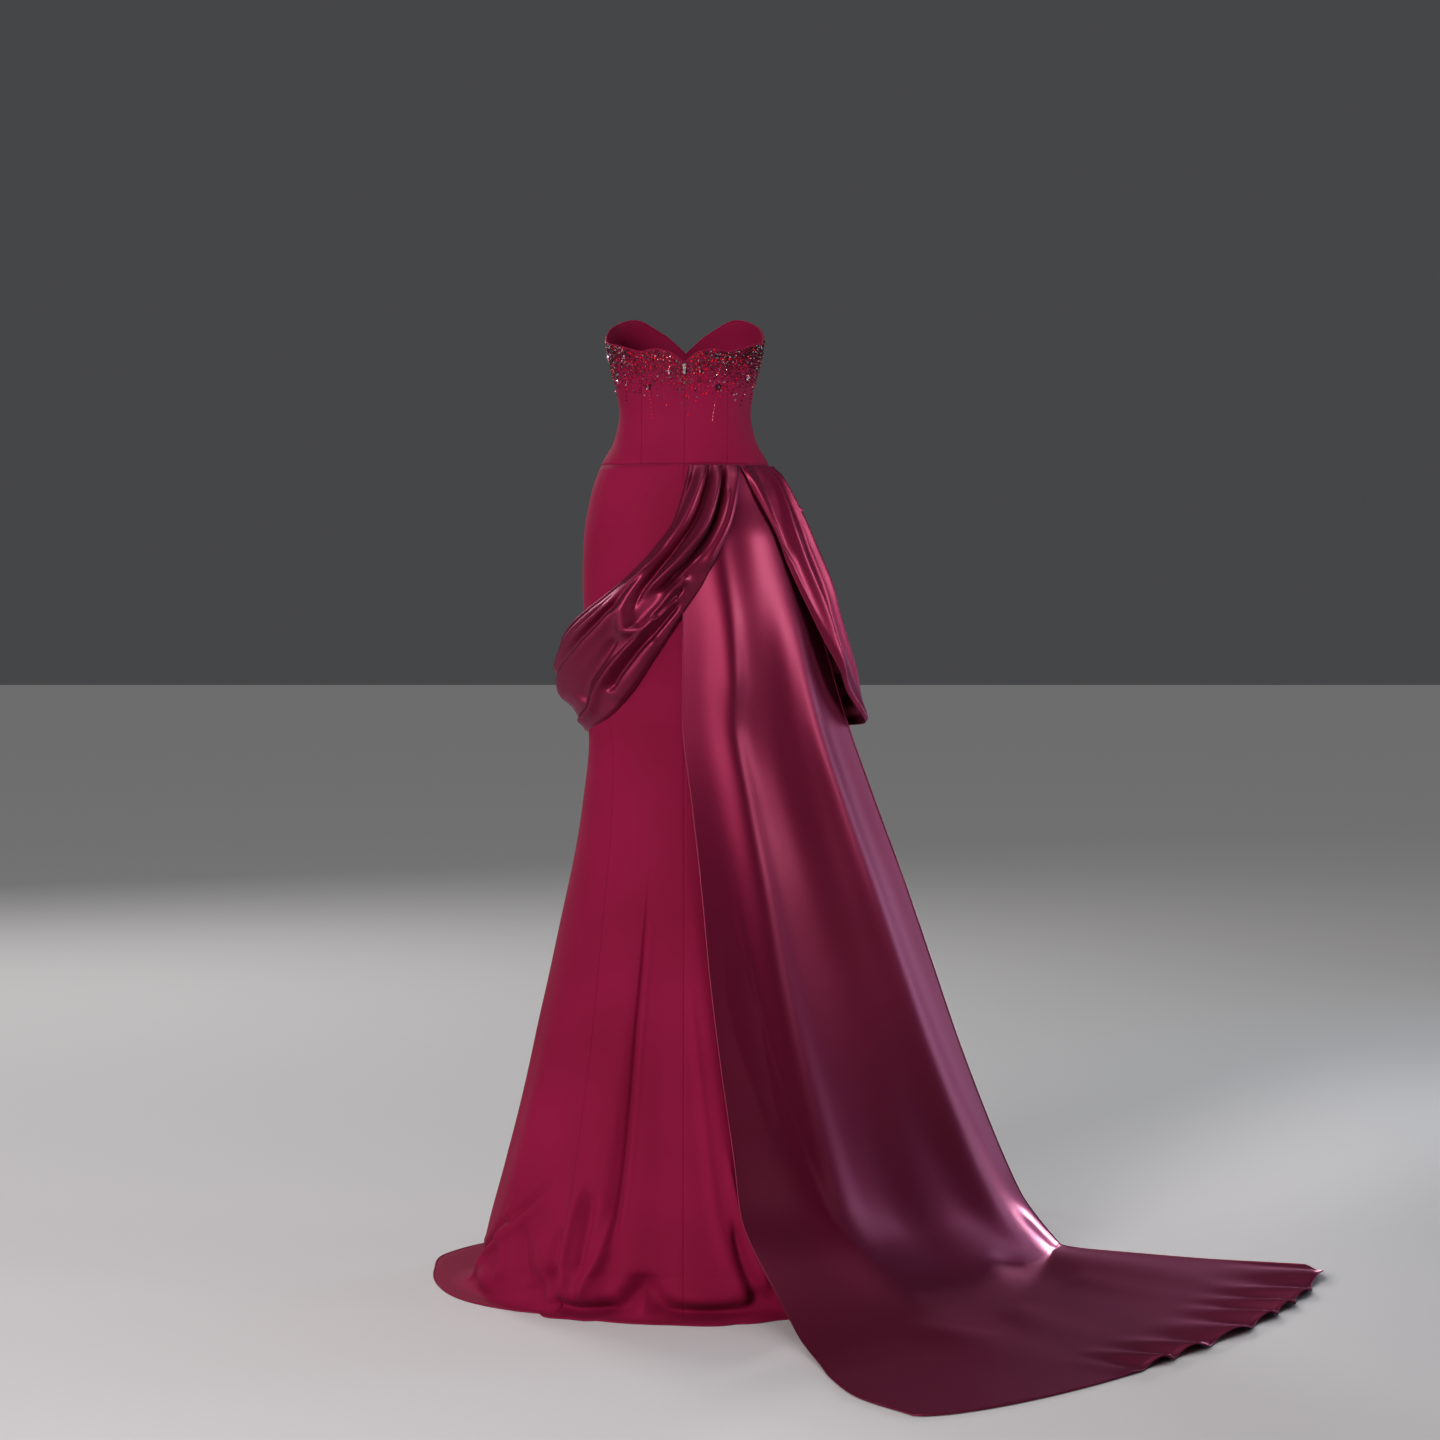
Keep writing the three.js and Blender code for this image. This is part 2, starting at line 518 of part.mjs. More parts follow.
// A panel of satin: its outer face from a surface, its inner face one wall's thickness behind.
function addSatinPanel(name, surface, columns, rows, stepA, stepB) {
  const inner = (a, b) => {
    const normal = normalAt(surface, a, b, stepA, stepB);
    const point = surface(a, b).addScaledVector(normal, -satinWall);
    point.z = Math.max(point.z, 0);
    return point;
  };
  addMesh(name, clothWall(columns, rows, surface, inner), satin);
}

const trainRuns = [
  0, 20, 45, 75, 110, 150, 200, 270, 360, 460, 560, 660, 757, 885, 1015, 1080, 1140, 1200, 1260,
  1320, 1380, trainFloorRun, 1490, 1550, 1605, 1650, 1690, trainEndRun,
];
const trainColumns = [...spaced(0, trainHem.from, 7), ...spaced(trainHem.from, 1, 34).slice(1)];
addSatinPanel("train", trainPoint, trainColumns, trainRuns, 0.004, -2);

const pleatColumns = [
  0, 0.03, 0.06, 0.1, 0.14, 0.17, 0.2, 0.25, 0.29, 0.33, 0.39, 0.46, 0.53, 0.6, 0.66, 0.72, 0.79,
  0.86, 0.93, 1,
];
const swagGap = 0.004; // stations, which is about the seam gap at the sides
const swagSurface = (at, down) => swagPoint(down, at);
const addSwag = (name, from, to, count) =>
  addSatinPanel(name, swagSurface, spaced(to, from, count), pleatColumns, 0.01, 0.004);
addSwag("swag_left", 0, swagLeftSeam - swagGap, 17);
addSwag("swag_front", swagLeftSeam + swagGap, swagRightSeam - swagGap, 12);
addSwag("swag_right", swagRightSeam + swagGap, swagEnd, 14);

// A closed geometry as a solid that can be joined to another, and back again.
const solids = await Module();
solids.setup();
function solidOf(geometry) {
  const bare = geometry.clone().deleteAttribute("normal").deleteAttribute("uv");
  const merged = mergeVertices(bare);
  const vertProperties = new Float32Array(merged.attributes.position.array);
  const triVerts = new Uint32Array(merged.index.array);
  return new solids.Manifold(new solids.Mesh({ numProp: 3, vertProperties, triVerts }));
}
function geometryOf(solid) {
  const mesh = solid.getMesh();
  const geometry = new THREE.BufferGeometry();
  geometry.setAttribute("position", new THREE.BufferAttribute(mesh.vertProperties, mesh.numProp));
  geometry.setIndex(new THREE.BufferAttribute(mesh.triVerts, 1));
  return geometry.toNonIndexed();
}

// The slider: a small lug with a rounded bridge, bored through from side to side for the pull.
const sliderTop = topEdge[0].height - slider.topDrop;
const sliderFace = -back(sliderTop) - slider.standOff; // the lug's side that faces the cloth
const barHeight = sliderTop - bridge.drop;
const barStand = sliderFace - slider.thick - bridge.bore;
const lugTop = slider.width / 2;
const lugShape = new THREE.Shape();
lugShape.moveTo(-lugTop, 0);
lugShape.quadraticCurveTo(0, slider.crown, lugTop, 0);
lugShape.lineTo(slider.footHalf, -slider.length + slider.footRound);
lugShape.quadraticCurveTo(
  0, -slider.length - slider.footRound, -slider.footHalf, -slider.length + slider.footRound,
);
const flat = (depth, curveSegments) => ({ depth, bevelEnabled: false, curveSegments });
const lug = new THREE.ExtrudeGeometry(lugShape, flat(slider.thick, 6));
lug.rotateX(Math.PI / 2).translate(0, sliderFace, sliderTop);
const ringShape = new THREE.Shape();
const ringRadius = bridge.bore + bridge.wall;
ringShape.absarc(0, 0, ringRadius, 0, 2 * Math.PI);
const bore = new THREE.Path();
bore.absarc(0, 0, bridge.bore, 0, 2 * Math.PI, true);
ringShape.holes.push(bore);
const ring = new THREE.ExtrudeGeometry(ringShape, flat(bridge.width, 10));
ring.rotateY(Math.PI / 2).translate(-bridge.width / 2, barStand, barHeight);
addMesh("zip_slider", geometryOf(solidOf(lug).add(solidOf(ring))), zipMetal);

// The pull: a flat tab whose eye goes round the bridge, so that its top bar turns in the bore.
const halfPull = pull.width / 2;
const shoulder = -pull.eyeLength - pull.rail;
const footHalf = halfPull - pull.footInset;
const footTop = -pull.length + pull.footRise;
const tab = new THREE.Shape();
tab.moveTo(-halfPull, shoulder);
tab.lineTo(-halfPull, 0);
tab.quadraticCurveTo(-halfPull, pull.bar / 2, -halfPull + pull.corner, pull.bar / 2);
tab.lineTo(halfPull - pull.corner, pull.bar / 2);
tab.quadraticCurveTo(halfPull, pull.bar / 2, halfPull, 0);
tab.lineTo(halfPull, shoulder);
tab.lineTo(pull.neck / 2, -pull.neckDrop);
tab.lineTo(footHalf, footTop);
tab.quadraticCurveTo(0, -pull.length - pull.footRound, -footHalf, footTop);
tab.lineTo(-pull.neck / 2, -pull.neckDrop);
const eye = new THREE.Path();
const eyeHalf = halfPull - pull.rail;
eye.moveTo(-eyeHalf, -pull.bar / 2);
eye.lineTo(-eyeHalf, -pull.eyeLength);
eye.lineTo(eyeHalf, -pull.eyeLength);
eye.lineTo(eyeHalf, -pull.bar / 2);
tab.holes.push(eye);
const tabGeometry = new THREE.ExtrudeGeometry(tab, flat(pull.thick, 6));
tabGeometry.translate(0, 0, -pull.thick / 2).rotateX(Math.PI / 2);
tabGeometry.translate(0, barStand, barHeight);
addMesh("zip_pull", tabGeometry, zipMetal);

export default gown;
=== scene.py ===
# Mermaid gown: crepe bodice and skirt, satin swag and train, beaded top edge and a zip at the back.
# Tables are in millimetres with heights above the floor, and angles go round the body in degrees:
# 0 at the centre back, 90 at the wearer's right. toFrame() turns them into the part's own metres.
# The beads' own sizes, the lights and the camera are in metres.
import math
import bmesh
import bpy
import numpy as np
from mathutils import Matrix, Vector


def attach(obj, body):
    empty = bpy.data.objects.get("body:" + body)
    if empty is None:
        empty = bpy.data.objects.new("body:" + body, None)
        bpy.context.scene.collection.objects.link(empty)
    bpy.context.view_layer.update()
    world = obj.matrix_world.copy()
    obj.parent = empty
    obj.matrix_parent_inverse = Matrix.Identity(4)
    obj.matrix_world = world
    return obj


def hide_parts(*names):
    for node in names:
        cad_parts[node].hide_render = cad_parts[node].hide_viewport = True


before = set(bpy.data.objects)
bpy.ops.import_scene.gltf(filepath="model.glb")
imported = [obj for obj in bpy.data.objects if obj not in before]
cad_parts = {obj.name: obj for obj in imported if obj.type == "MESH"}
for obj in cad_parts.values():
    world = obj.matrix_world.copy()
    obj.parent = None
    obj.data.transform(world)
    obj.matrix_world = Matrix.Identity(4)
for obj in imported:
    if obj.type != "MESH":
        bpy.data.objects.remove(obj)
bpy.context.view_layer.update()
print("frame loaded")

gown = {
    "waistHeight": 1305, "hipSeam": 1229, "crepeWall": 2.0, "satinWall": 1.6, "seamGap": 0.3,
    "breakHeight": 60, "hipDip": 0.3, "hipDipWidth": 1.6,
    # height, half the width, back depth, front depth
    "sections": [
        (0, 312, 262, 262), (82, 297, 247, 248), (187, 267, 229, 227), (307, 237, 204, 203),
        (427, 212, 181, 180), (547, 187, 156, 156), (667, 162, 133, 136), (727, 153, 124, 124),
        (817, 144, 114, 114), (927, 149, 118, 111), (1057, 153.5, 122, 108), (1117, 152, 120, 106),
        (1177, 143, 113, 102), (1229, 126, 101, 97), (1267, 106, 86, 90), (1305, 98.5, 80, 86),
        (1342, 103.5, 83, 97), (1402, 116, 88, 108), (1470, 124, 93, 110),
    ],
    # angle, height of the bodice's top edge
    "topEdge": [
        (0, 1378), (5, 1386), (11, 1394), (22, 1398.5), (34, 1395.5), (45, 1400), (62, 1407),
        (82, 1412), (100, 1424), (122, 1443), (143, 1454), (164, 1434), (180, 1404),
    ],
    "cup": {"angle": 141, "height": 1398, "halfAngle": 27, "halfHeight": 46, "fullness": 25},
}


# small maths

def mix(a, b, share):
    return a + (b - a) * share


def smoothStep(t):
    x = np.clip(t, 0, 1)
    return x * x * (3 - 2 * x)


def bell(distance, halfWidth):
    return np.exp(-((distance / halfWidth) ** 2))


def around(angle):
    return (angle + 180) % 360 - 180


def tangentsOf(x, y):
    # slopes at each row that keep a curve from swinging past its rows
    slope = np.diff(y, axis=0) / np.diff(x)[:, None]
    before, after = slope[:-1], slope[1:]
    total = np.where(np.abs(before + after) < 1e-9, 1, before + after)
    middle = np.where(before * after > 0, 2 * before * after / total, 0)
    return np.concatenate([slope[:1], middle, slope[-1:]])


def curveThrough(x, y, place):
    # y has a row for each x, and a column for each place or one column for all
    x = np.asarray(x, float)
    y = np.asarray(y, float)
    if y.ndim == 1:
        y = y[:, None]
    place = np.clip(np.asarray(place, float), x[0], x[-1])
    tangent = tangentsOf(x, y)
    i = np.clip(np.searchsorted(x, place, side="right") - 1, 0, len(x) - 2)
    column = np.arange(place.size) if y.shape[1] > 1 else np.zeros(place.size, int)
    step = x[i + 1] - x[i]
    t = (place - x[i]) / step
    rise = t * t * (3 - 2 * t)
    return (y[i, column] * (1 - rise) + y[i + 1, column] * rise
            + step * (tangent[i, column] * t * (1 - t) ** 2 - tangent[i + 1, column] * t * t * (1 - t)))


def smoothCurve(rows, column):
    x = [row[0] for row in rows]
    y = [row[column] for row in rows]
    return lambda place: curveThrough(x, y, np.atleast_1d(place))


def undulation(a, b, ease):
    # slow unevenness of hanging cloth: ease is its rise, the scales of a and b, its pitch and its seed
    rise, scaleA, scaleB, pitch, seed = ease
    rng = np.random.default_rng(seed)
    total = np.zeros(np.broadcast(a, b).shape)
    for _ in range(6):
        turn, phase = rng.uniform(0, 2 * math.pi, 2)
        length = pitch * rng.uniform(0.7, 1.5)
        run = a * scaleA * math.cos(turn) + b * scaleB * math.sin(turn)
        total = total + np.sin(2 * math.pi * run / length + phase)
    return rise * total / 6


def fadeEnds(share, fades):
    return smoothStep(share / fades[0]) * smoothStep((1 - share) / fades[1])


def distanceToPath(a, b, path):
    # distance to a line of points, and how far along it the nearest place is, from 0 to 1
    points = np.array(path, float)
    lengths = np.linalg.norm(np.diff(points, axis=0), axis=1)
    reached = np.concatenate([[0], np.cumsum(lengths)]) / lengths.sum()
    nearest = np.full(a.shape, 1e9)
    along = np.zeros(a.shape)
    for k, length in enumerate(lengths):
        direction = (points[k + 1] - points[k]) / length
        run = np.clip((a - points[k, 0]) * direction[0] + (b - points[k, 1]) * direction[1], 0, length)
        away = np.hypot(a - points[k, 0] - direction[0] * run, b - points[k, 1] - direction[1] * run)
        closer = away < nearest
        nearest = np.where(closer, away, nearest)
        along = np.where(closer, mix(reached[k], reached[k + 1], run / length), along)
    return nearest, along


def roundedPath(path, steps=6):
    # the same line with its corners rounded
    points = np.array(path, float)
    at = np.arange(len(points))
    fine = np.linspace(0, len(points) - 1, (len(points) - 1) * steps + 1)
    return np.column_stack([curveThrough(at, points[:, k], fine) for k in range(points.shape[1])])


def toFrame(points):
    placed = np.array(points, float)
    placed[:, 2] -= gown["waistHeight"]
    return placed / 1000


# the gown's form

side, back, front = (smoothCurve(gown["sections"], column) for column in (1, 2, 3))
topCurve = smoothCurve(gown["topEdge"], 1)


def topHeight(angle):
    return topCurve(np.abs(around(angle)))


skirt = {
    # height, angle of the side back seams
    "sideBackSeam": [(0, 36), (300, 37), (660, 42.5), (860, 50), (1040, 60.5), (1229, 68)],
    # top angle, hem angle, half angle, depth, height where it starts
    "flutes": [
        (-17, -22, 3.4, -10, 650), (-26, -30, 6, 5, 600), (-1, 20, 6, 10, 760), (-9, -6, 7, -5, 640),
        (-47, -50, 8, -6, 700), (-66, -68, 9, 4, 560), (-112, -116, 11, -8, 640),
        (-150, -152, 12, 8, 600), (178, 176, 11, -7, 620), (148, 150, 12, 8, 600),
    ],
    # bearing, how far out the hem lies
    "hem": [
        (-180, 300), (-166, 330), (-152, 392), (-137, 446), (-121, 438), (-106, 400), (-90, 371),
        (-73, 345), (-54, 305), (-36, 271), (-22, 275), (-5, 274), (10, 284), (22, 272), (50, 290),
        (90, 335), (135, 322), (180, 300),
    ],
    # angle, half angle, belly, tuck
    "breaks": [
        (5, 15, 18, 14), (-24, 6, 16, 14), (-36, 5, 20, 14), (-70, 10, 13, 8), (34, 9, 12, 12),
        (70, 12, 9, 8), (112, 13, 10, 10), (158, 11, 12, 12), (-166, 12, 12, 12), (-122, 10, 8, 6),
    ],
    # long drag lines: angle and height of each end, half width, depth
    "creases": [
        (-33, 430, -38, 60, 16, 3), (-57, 420, -60, 70, 20, -3.5),
        (-80, 520, -86, 80, 22, 3), (-99, 480, -104, 60, 18, -3),
        (30, 420, 33, 50, 20, 3), (62, 460, 66, 60, 22, -3), (92, 430, 96, 50, 18, 3),
        (122, 470, 126, 60, 20, -3), (160, 430, 163, 60, 18, 3), (-134, 450, -138, 60, 18, 3),
        (-164, 430, -168, 60, 18, -3), (-52, 1200, -62, 1120, 16, 1), (-62, 1010, -58, 880, 14, 1),
        (120, 1180, 128, 1060, 22, -1), (-125, 1190, -132, 1050, 22, 1), (176, 1180, 172, 1000, 26, -1),
    ],
    # folds near the floor: half width, rise, and the places (angle, fall) each runs through
    "folds": [
        ((2.2, 4), -6, [(-17, 660), (-18.4, 477), (-19.3, 380), (-19.8, 250), (-20.3, 176), (-21.2, 120),
            (-22.6, 95), (-24.4, 78)]),
        ((8, 6), 4, [(-15, 600), (-16.4, 420), (-17.2, 290), (-17.8, 180), (-19, 110), (-21.6, 78)]),
        (8, 4, [(1.5, 520), (4, 400), (6.6, 290), (8.6, 190), (10.2, 130), (12.6, 80), (15, 46)]),
        ((9, 8), 13, [(-32, 215), (-33.4, 150), (-34.3, 104), (-34.6, 76), (-33.6, 56), (-31.4, 40)]),
        ((8, 7), 11, [(-21.6, 150), (-22.8, 106), (-25.2, 72), (-27, 54), (-28.2, 38)]),
        ((9, 6), -9, [(-28.4, 190), (-29, 120), (-29.6, 80), (-30.2, 58)]),
        ((10, 9), -10, [(-38.6, 130), (-39.4, 84), (-39, 58), (-37.6, 40)]),
        (13, -25, [(-60, 28), (-52, 30), (-46, 36), (-41.5, 46), (-39, 48), (-36, 36), (-33, 25), (-30, 23),
            (-26, 26), (-21, 28), (-17, 32), (-14, 42), (-11, 50), (-8, 44), (-4, 33), (2, 28),
            (9, 27), (16, 30), (24, 38), (32, 34)]),
        ((5, 6), 9, [(13.4, 250), (14.6, 194), (16.9, 140), (19.6, 93), (24, 46)]),
        ((5, 10), -16, [(14.2, 150), (15.8, 104), (17.8, 66), (21, 32)]),
        ((7, 10), 10, [(-64, 150), (-62, 96), (-60.6, 62), (-60, 40)]),
        ((8, 9), 9, [(-48, 120), (-45.6, 76), (-42, 54), (-38.4, 40)]),
        ((6, 9), -9, [(-55.6, 120), (-53, 76), (-50.6, 44)]),
        ((6, 7), 10, [(-43.5, 200), (-46, 176), (-51, 146), (-58, 116), (-66.5, 82), (-80, 46), (-92, 22)]),
        ((4, 6), -12, [(-46, 204), (-49, 180), (-54, 154), (-61.5, 124), (-70.5, 92), (-84, 58), (-95, 34)]),
        ((8, 8), -9, [(28, 150), (30.6, 96), (32, 50)]),
        ((7, 9), 10, [(38, 190), (41, 118), (44, 66), (47, 38)]),
        ((8, 9), -8, [(52, 150), (54, 90), (55, 46)]),
        ((7, 9), 10, [(60, 170), (64, 106), (63, 62), (59, 38)]),
        ((8, 9), 9, [(86, 200), (90, 118), (92, 62), (96, 36)]), (9, -8, [(100, 150), (102, 90), (103, 50)]),
        ((8, 9), 10, [(110, 185), (114, 108), (112, 56)]), (9, -8, [(123, 150), (126, 84), (129, 46)]),
        ((7, 9), 9, [(134, 200), (138, 116), (141, 60), (146, 38)]),
        (9, 9, [(156, 190), (160, 106), (164, 44)]),
        (9, -8, [(172, 150), (174, 90), (176, 46)]), ((7, 9), 9, [(-173, 180), (-170, 106), (-167, 48)]),
        ((8, 9), 10, [(-151, 170), (-148, 96), (-145, 44)]), (9, -8, [(-139, 140), (-137, 84), (-136, 46)]),
        ((7, 9), 9, [(-130, 185), (-126, 106), (-123, 48)]),
        ((7, 9), 9, [(-105, 165), (-103, 96), (-99, 44)]),
    ],
    "perDegree": 4.4, "foldFades": (0.35, 0.12), "creaseFades": (0.3, 0.35),
    "sway": 0.8, "swayPitch": 47, "fluteTop": 0.75, "fluteRate": 1.3,
    # the turn onto the floor: shares of the way down, and the cloth's heights and reach on it
    "turnShares": [0, 0.32, 0.56, 0.76, 1], "bellyHeight": 29, "tuckHeight": 10, "footLift": 1,
    "leastBelly": 3.0, "leastSpread": 4, "fullTuck": 12, "spreadShares": (0.35, 0.65), "tuckLeft": 0.7,
}
sideBackAngle = smoothCurve(skirt["sideBackSeam"], 1)
hemRadius = smoothCurve(skirt["hem"], 1)


def fluteRise(angle, height):
    rise = np.zeros(np.broadcast(angle, height).shape)
    for topAngle, hemAngle, halfAngle, depth, start in skirt["flutes"]:
        down = np.clip(1 - height / start, 0, 1)
        middle = mix(topAngle, hemAngle, down)
        spread = halfAngle * mix(skirt["fluteTop"], 1, down)
        rise = rise + depth * smoothStep(down * skirt["fluteRate"]) * bell(around(angle - middle), spread)
    return rise


def cupRise(angle, height):
    cup = gown["cup"]
    turn = np.abs(around(angle)) - cup["angle"]
    fullness = cup["fullness"] * bell(turn, cup["halfAngle"])
    return fullness * bell(height - cup["height"], cup["halfHeight"])


def gownPoint(angle, height, out=0.0):
    # a point of the gown's outer face, moved out from it by an amount
    angle, height = np.broadcast_arrays(np.asarray(angle, float), np.asarray(height, float))
    sine, cosine = np.sin(np.radians(angle)), np.cos(np.radians(angle))
    bust = np.where(height > gown["hipSeam"], cupRise(angle, height), 0)
    rise = out + fluteRise(angle, height) + bust
    depth = np.where(cosine > 0, back(height), front(height))
    return np.column_stack([(side(height) + rise) * sine, -(depth + rise) * cosine, height])


def foldRise(a, b, folds, scale, fades):
    # soft ridges and hollows along paths, each (half width or one for each end, rise, path)
    rise = np.zeros(a.shape)
    for halfWidth, height, path in folds:
        route = roundedPath([(p * scale[0], q * scale[1]) for p, q in path])
        away, along = distanceToPath(a * scale[0], b * scale[1], route)
        widths = np.ravel(halfWidth)
        rise = rise + height * fadeEnds(along, fades) * bell(away, mix(widths[0], widths[-1], along))
    return rise


def creaseRise(angle, height):
    # the skirt's drag lines, and its folds near the floor
    rise = np.zeros(angle.shape)
    reach = 0.5 * (side(height) + back(height))
    for topAngle, top, footAngle, foot, halfWidth, depth in skirt["creases"]:
        share = (height - foot) / (top - foot)
        sway = skirt["sway"] * np.sin(height / skirt["swayPitch"] + topAngle)
        middle = mix(footAngle, topAngle, share) + sway
        away = np.radians(around(angle - middle)) * reach
        rise = rise + depth * fadeEnds(share, skirt["creaseFades"]) * bell(away, halfWidth)
    scale = (skirt["perDegree"], 1)
    return rise + foldRise(around(angle), height, skirt["folds"], scale, skirt["foldFades"])


def skirtPoint(angle, fall, out=0.0):
    # below the break height, fall counts down along the cloth as it folds over and lies on the floor
    angle, fall = np.broadcast_arrays(np.asarray(angle, float), np.asarray(fall, float))
    hanging = gownPoint(angle, np.maximum(fall, gown["breakHeight"]), out)
    low = fall < gown["breakHeight"]
    if not low.any():
        return hanging
    foot = hanging[low]
    reach = np.hypot(foot[:, 0], foot[:, 1])
    belly = np.full(reach.shape, skirt["leastBelly"])
    tuck = np.zeros(reach.shape)
    for middle, halfAngle, bellyRise, tuckIn in skirt["breaks"]:
        near = bell(around(angle[low] - middle), halfAngle)
        belly += bellyRise * near
        tuck += tuckIn * near
    bearing = np.degrees(np.arctan2(foot[:, 0], -foot[:, 1]))
    spread = np.maximum(hemRadius(bearing) - reach, belly + skirt["leastSpread"])
    tucked = np.minimum(1, tuck / skirt["fullTuck"])
    down = 1 - fall[low] / gown["breakHeight"]
    inner, outer = skirt["spreadShares"]
    outs = [0 * reach, belly, mix(spread * inner, belly - tuck, tucked),
            mix(spread * outer, belly - tuck * skirt["tuckLeft"], tucked), spread]
    heights = [gown["breakHeight"], skirt["bellyHeight"], skirt["tuckHeight"],
               gown["crepeWall"] + skirt["footLift"], gown["crepeWall"]]
    stretch = (reach + curveThrough(skirt["turnShares"], outs, down)) / reach
    hanging[low, 0] = foot[:, 0] * stretch
    hanging[low, 1] = foot[:, 1] * stretch
    hanging[low, 2] = curveThrough(skirt["turnShares"], heights, down)
    return hanging


# making pieces

def addObject(name, data):
    added = bpy.data.objects.new(name, data)
    bpy.context.collection.objects.link(added)
    return added


def meshFrom(bm, name):
    mesh = bpy.data.meshes.new(name)
    bm.to_mesh(mesh)
    bm.free()
    return mesh


def makeCloth(node, slotName, table, columns, surface, area):
    # a sheet of quads whose points surface(u, w) places, u round the piece and w from its foot up
    bm = bmesh.new()
    bmesh.ops.create_grid(bm, x_segments=columns, y_segments=table["rows"], size=0.5)
    mesh = meshFrom(bm, node + "_cloth")
    grid = np.empty(len(mesh.vertices) * 3)
    mesh.vertices.foreach_get("co", grid)
    u, w = grid.reshape(-1, 3).T[:2] + 0.5
    u = mix(u, smoothStep(u), table["crowding"])  # crowds the columns towards both seams
    mesh.vertices.foreach_set("co", toFrame(surface(u, w)).ravel())
    mesh.update()
    mesh.shade_smooth()
    mesh.materials.append(clothMaterials[slotName])
    piece = addObject(node + "_cloth", mesh)
    print(f"  {piece.name}: cloth {sum(face.area for face in mesh.polygons):.3f} m2 for {area} cut")
    wall = piece.modifiers.new("wall", "SOLIDIFY")
    wall.thickness = table["cloth"] / 1000
    wall.offset = -1
    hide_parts(node)
    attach(piece, "gown")


def edgeRoll(name, slotName, table, edge, closed=False):
    # a narrow rolled edge along a line of points
    points = toFrame(edge)
    curve = bpy.data.curves.new(name, "CURVE")
    curve.dimensions = "3D"
    curve.bevel_depth = table["rollRadius"] / 1000
    curve.bevel_resolution = 2
    curve.use_fill_caps = not closed
    spline = curve.splines.new("POLY")
    spline.points.add(len(points) - 1)
    for point, place in zip(spline.points, points):
        point.co = (*place, 1)
    spline.use_cyclic_u = closed
    spline.use_smooth = True
    curve.materials.append(clothMaterials[slotName])
    roll = addObject(name, curve)
    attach(roll, "gown")


def hipDip(away):
    # how the cloth dips beside the hip seam
    return gown["hipDip"] * bell(away, gown["hipDipWidth"])


def seamRelief(piece, u, low, high, height):
    # how the cloth dips and puckers beside the seams at its two sides
    width = np.radians(high - low) * 0.5 * (side(height) + back(height))
    fromEdge = np.minimum(u, 1 - u) * width
    rise, reach, rate, drift = piece["pucker"]
    waves = np.sin(height * rate + 2 * np.sin(height / drift))
    return rise * bell(fromEdge, reach) * waves - piece["seamDip"] * bell(fromEdge, piece["seamWidth"])


# finishes

# shade and light are the ends of a colour range, and grain is how fine its threads and patches are
finishes = {
    "crepe": {
        "shade": (0.160, 0.0011, 0.0225), "light": (0.226, 0.0032, 0.040), "grain": (1400, 5),
        "bump": {"Strength": 0.35, "Distance": 0.0005},
        "surface": {
            "Roughness": 0.8, "Specular IOR Level": 0.12,
            "Sheen Weight": 0.03, "Sheen Roughness": 0.5, "Sheen Tint": (0.85, 0.25, 0.42, 1),
        },
    },
    "satin": {
        "shade": (0.155, 0.0030, 0.030), "light": (0.195, 0.0048, 0.040), "grain": (1800, 3),
        "edge": (0.24, 0.040, 0.09, 1), "edgeBlend": 0.35,  # painted sheen: a lighter colour mixed in where the cloth is seen aslant
        "bump": {"Strength": 0.08, "Distance": 0.0003},
        "surface": {
            "Metallic": 0.86, "Roughness": 0.46,
            "Specular IOR Level": 0.3, "Specular Tint": (0.60, 0.28, 0.46, 1),
            "Coat Weight": 0.28, "Coat Roughness": 0.36, "Coat Tint": (1.0, 0.86, 0.93, 1),
        },
    },
    "zip": {
        "shade": (0.42, 0.40, 0.43), "light": (0.74, 0.72, 0.75), "grain": (2600, 300),
        "surface": {"Metallic": 1, "Roughness": 0.24},
    },
}


def newMaterial(name):
    material = bpy.data.materials.new(name)
    material.use_nodes = True
    nodes = material.node_tree.nodes
    nodes.clear()
    output = nodes.new("ShaderNodeOutputMaterial")
    shader = nodes.new("ShaderNodeBsdfPrincipled")
    material.node_tree.links.new(shader.outputs["BSDF"], output.inputs["Surface"])
    return material, nodes, material.node_tree.links, shader


def setInputs(node, values):
    for name, value in values.items():
        node.inputs[name].default_value = value


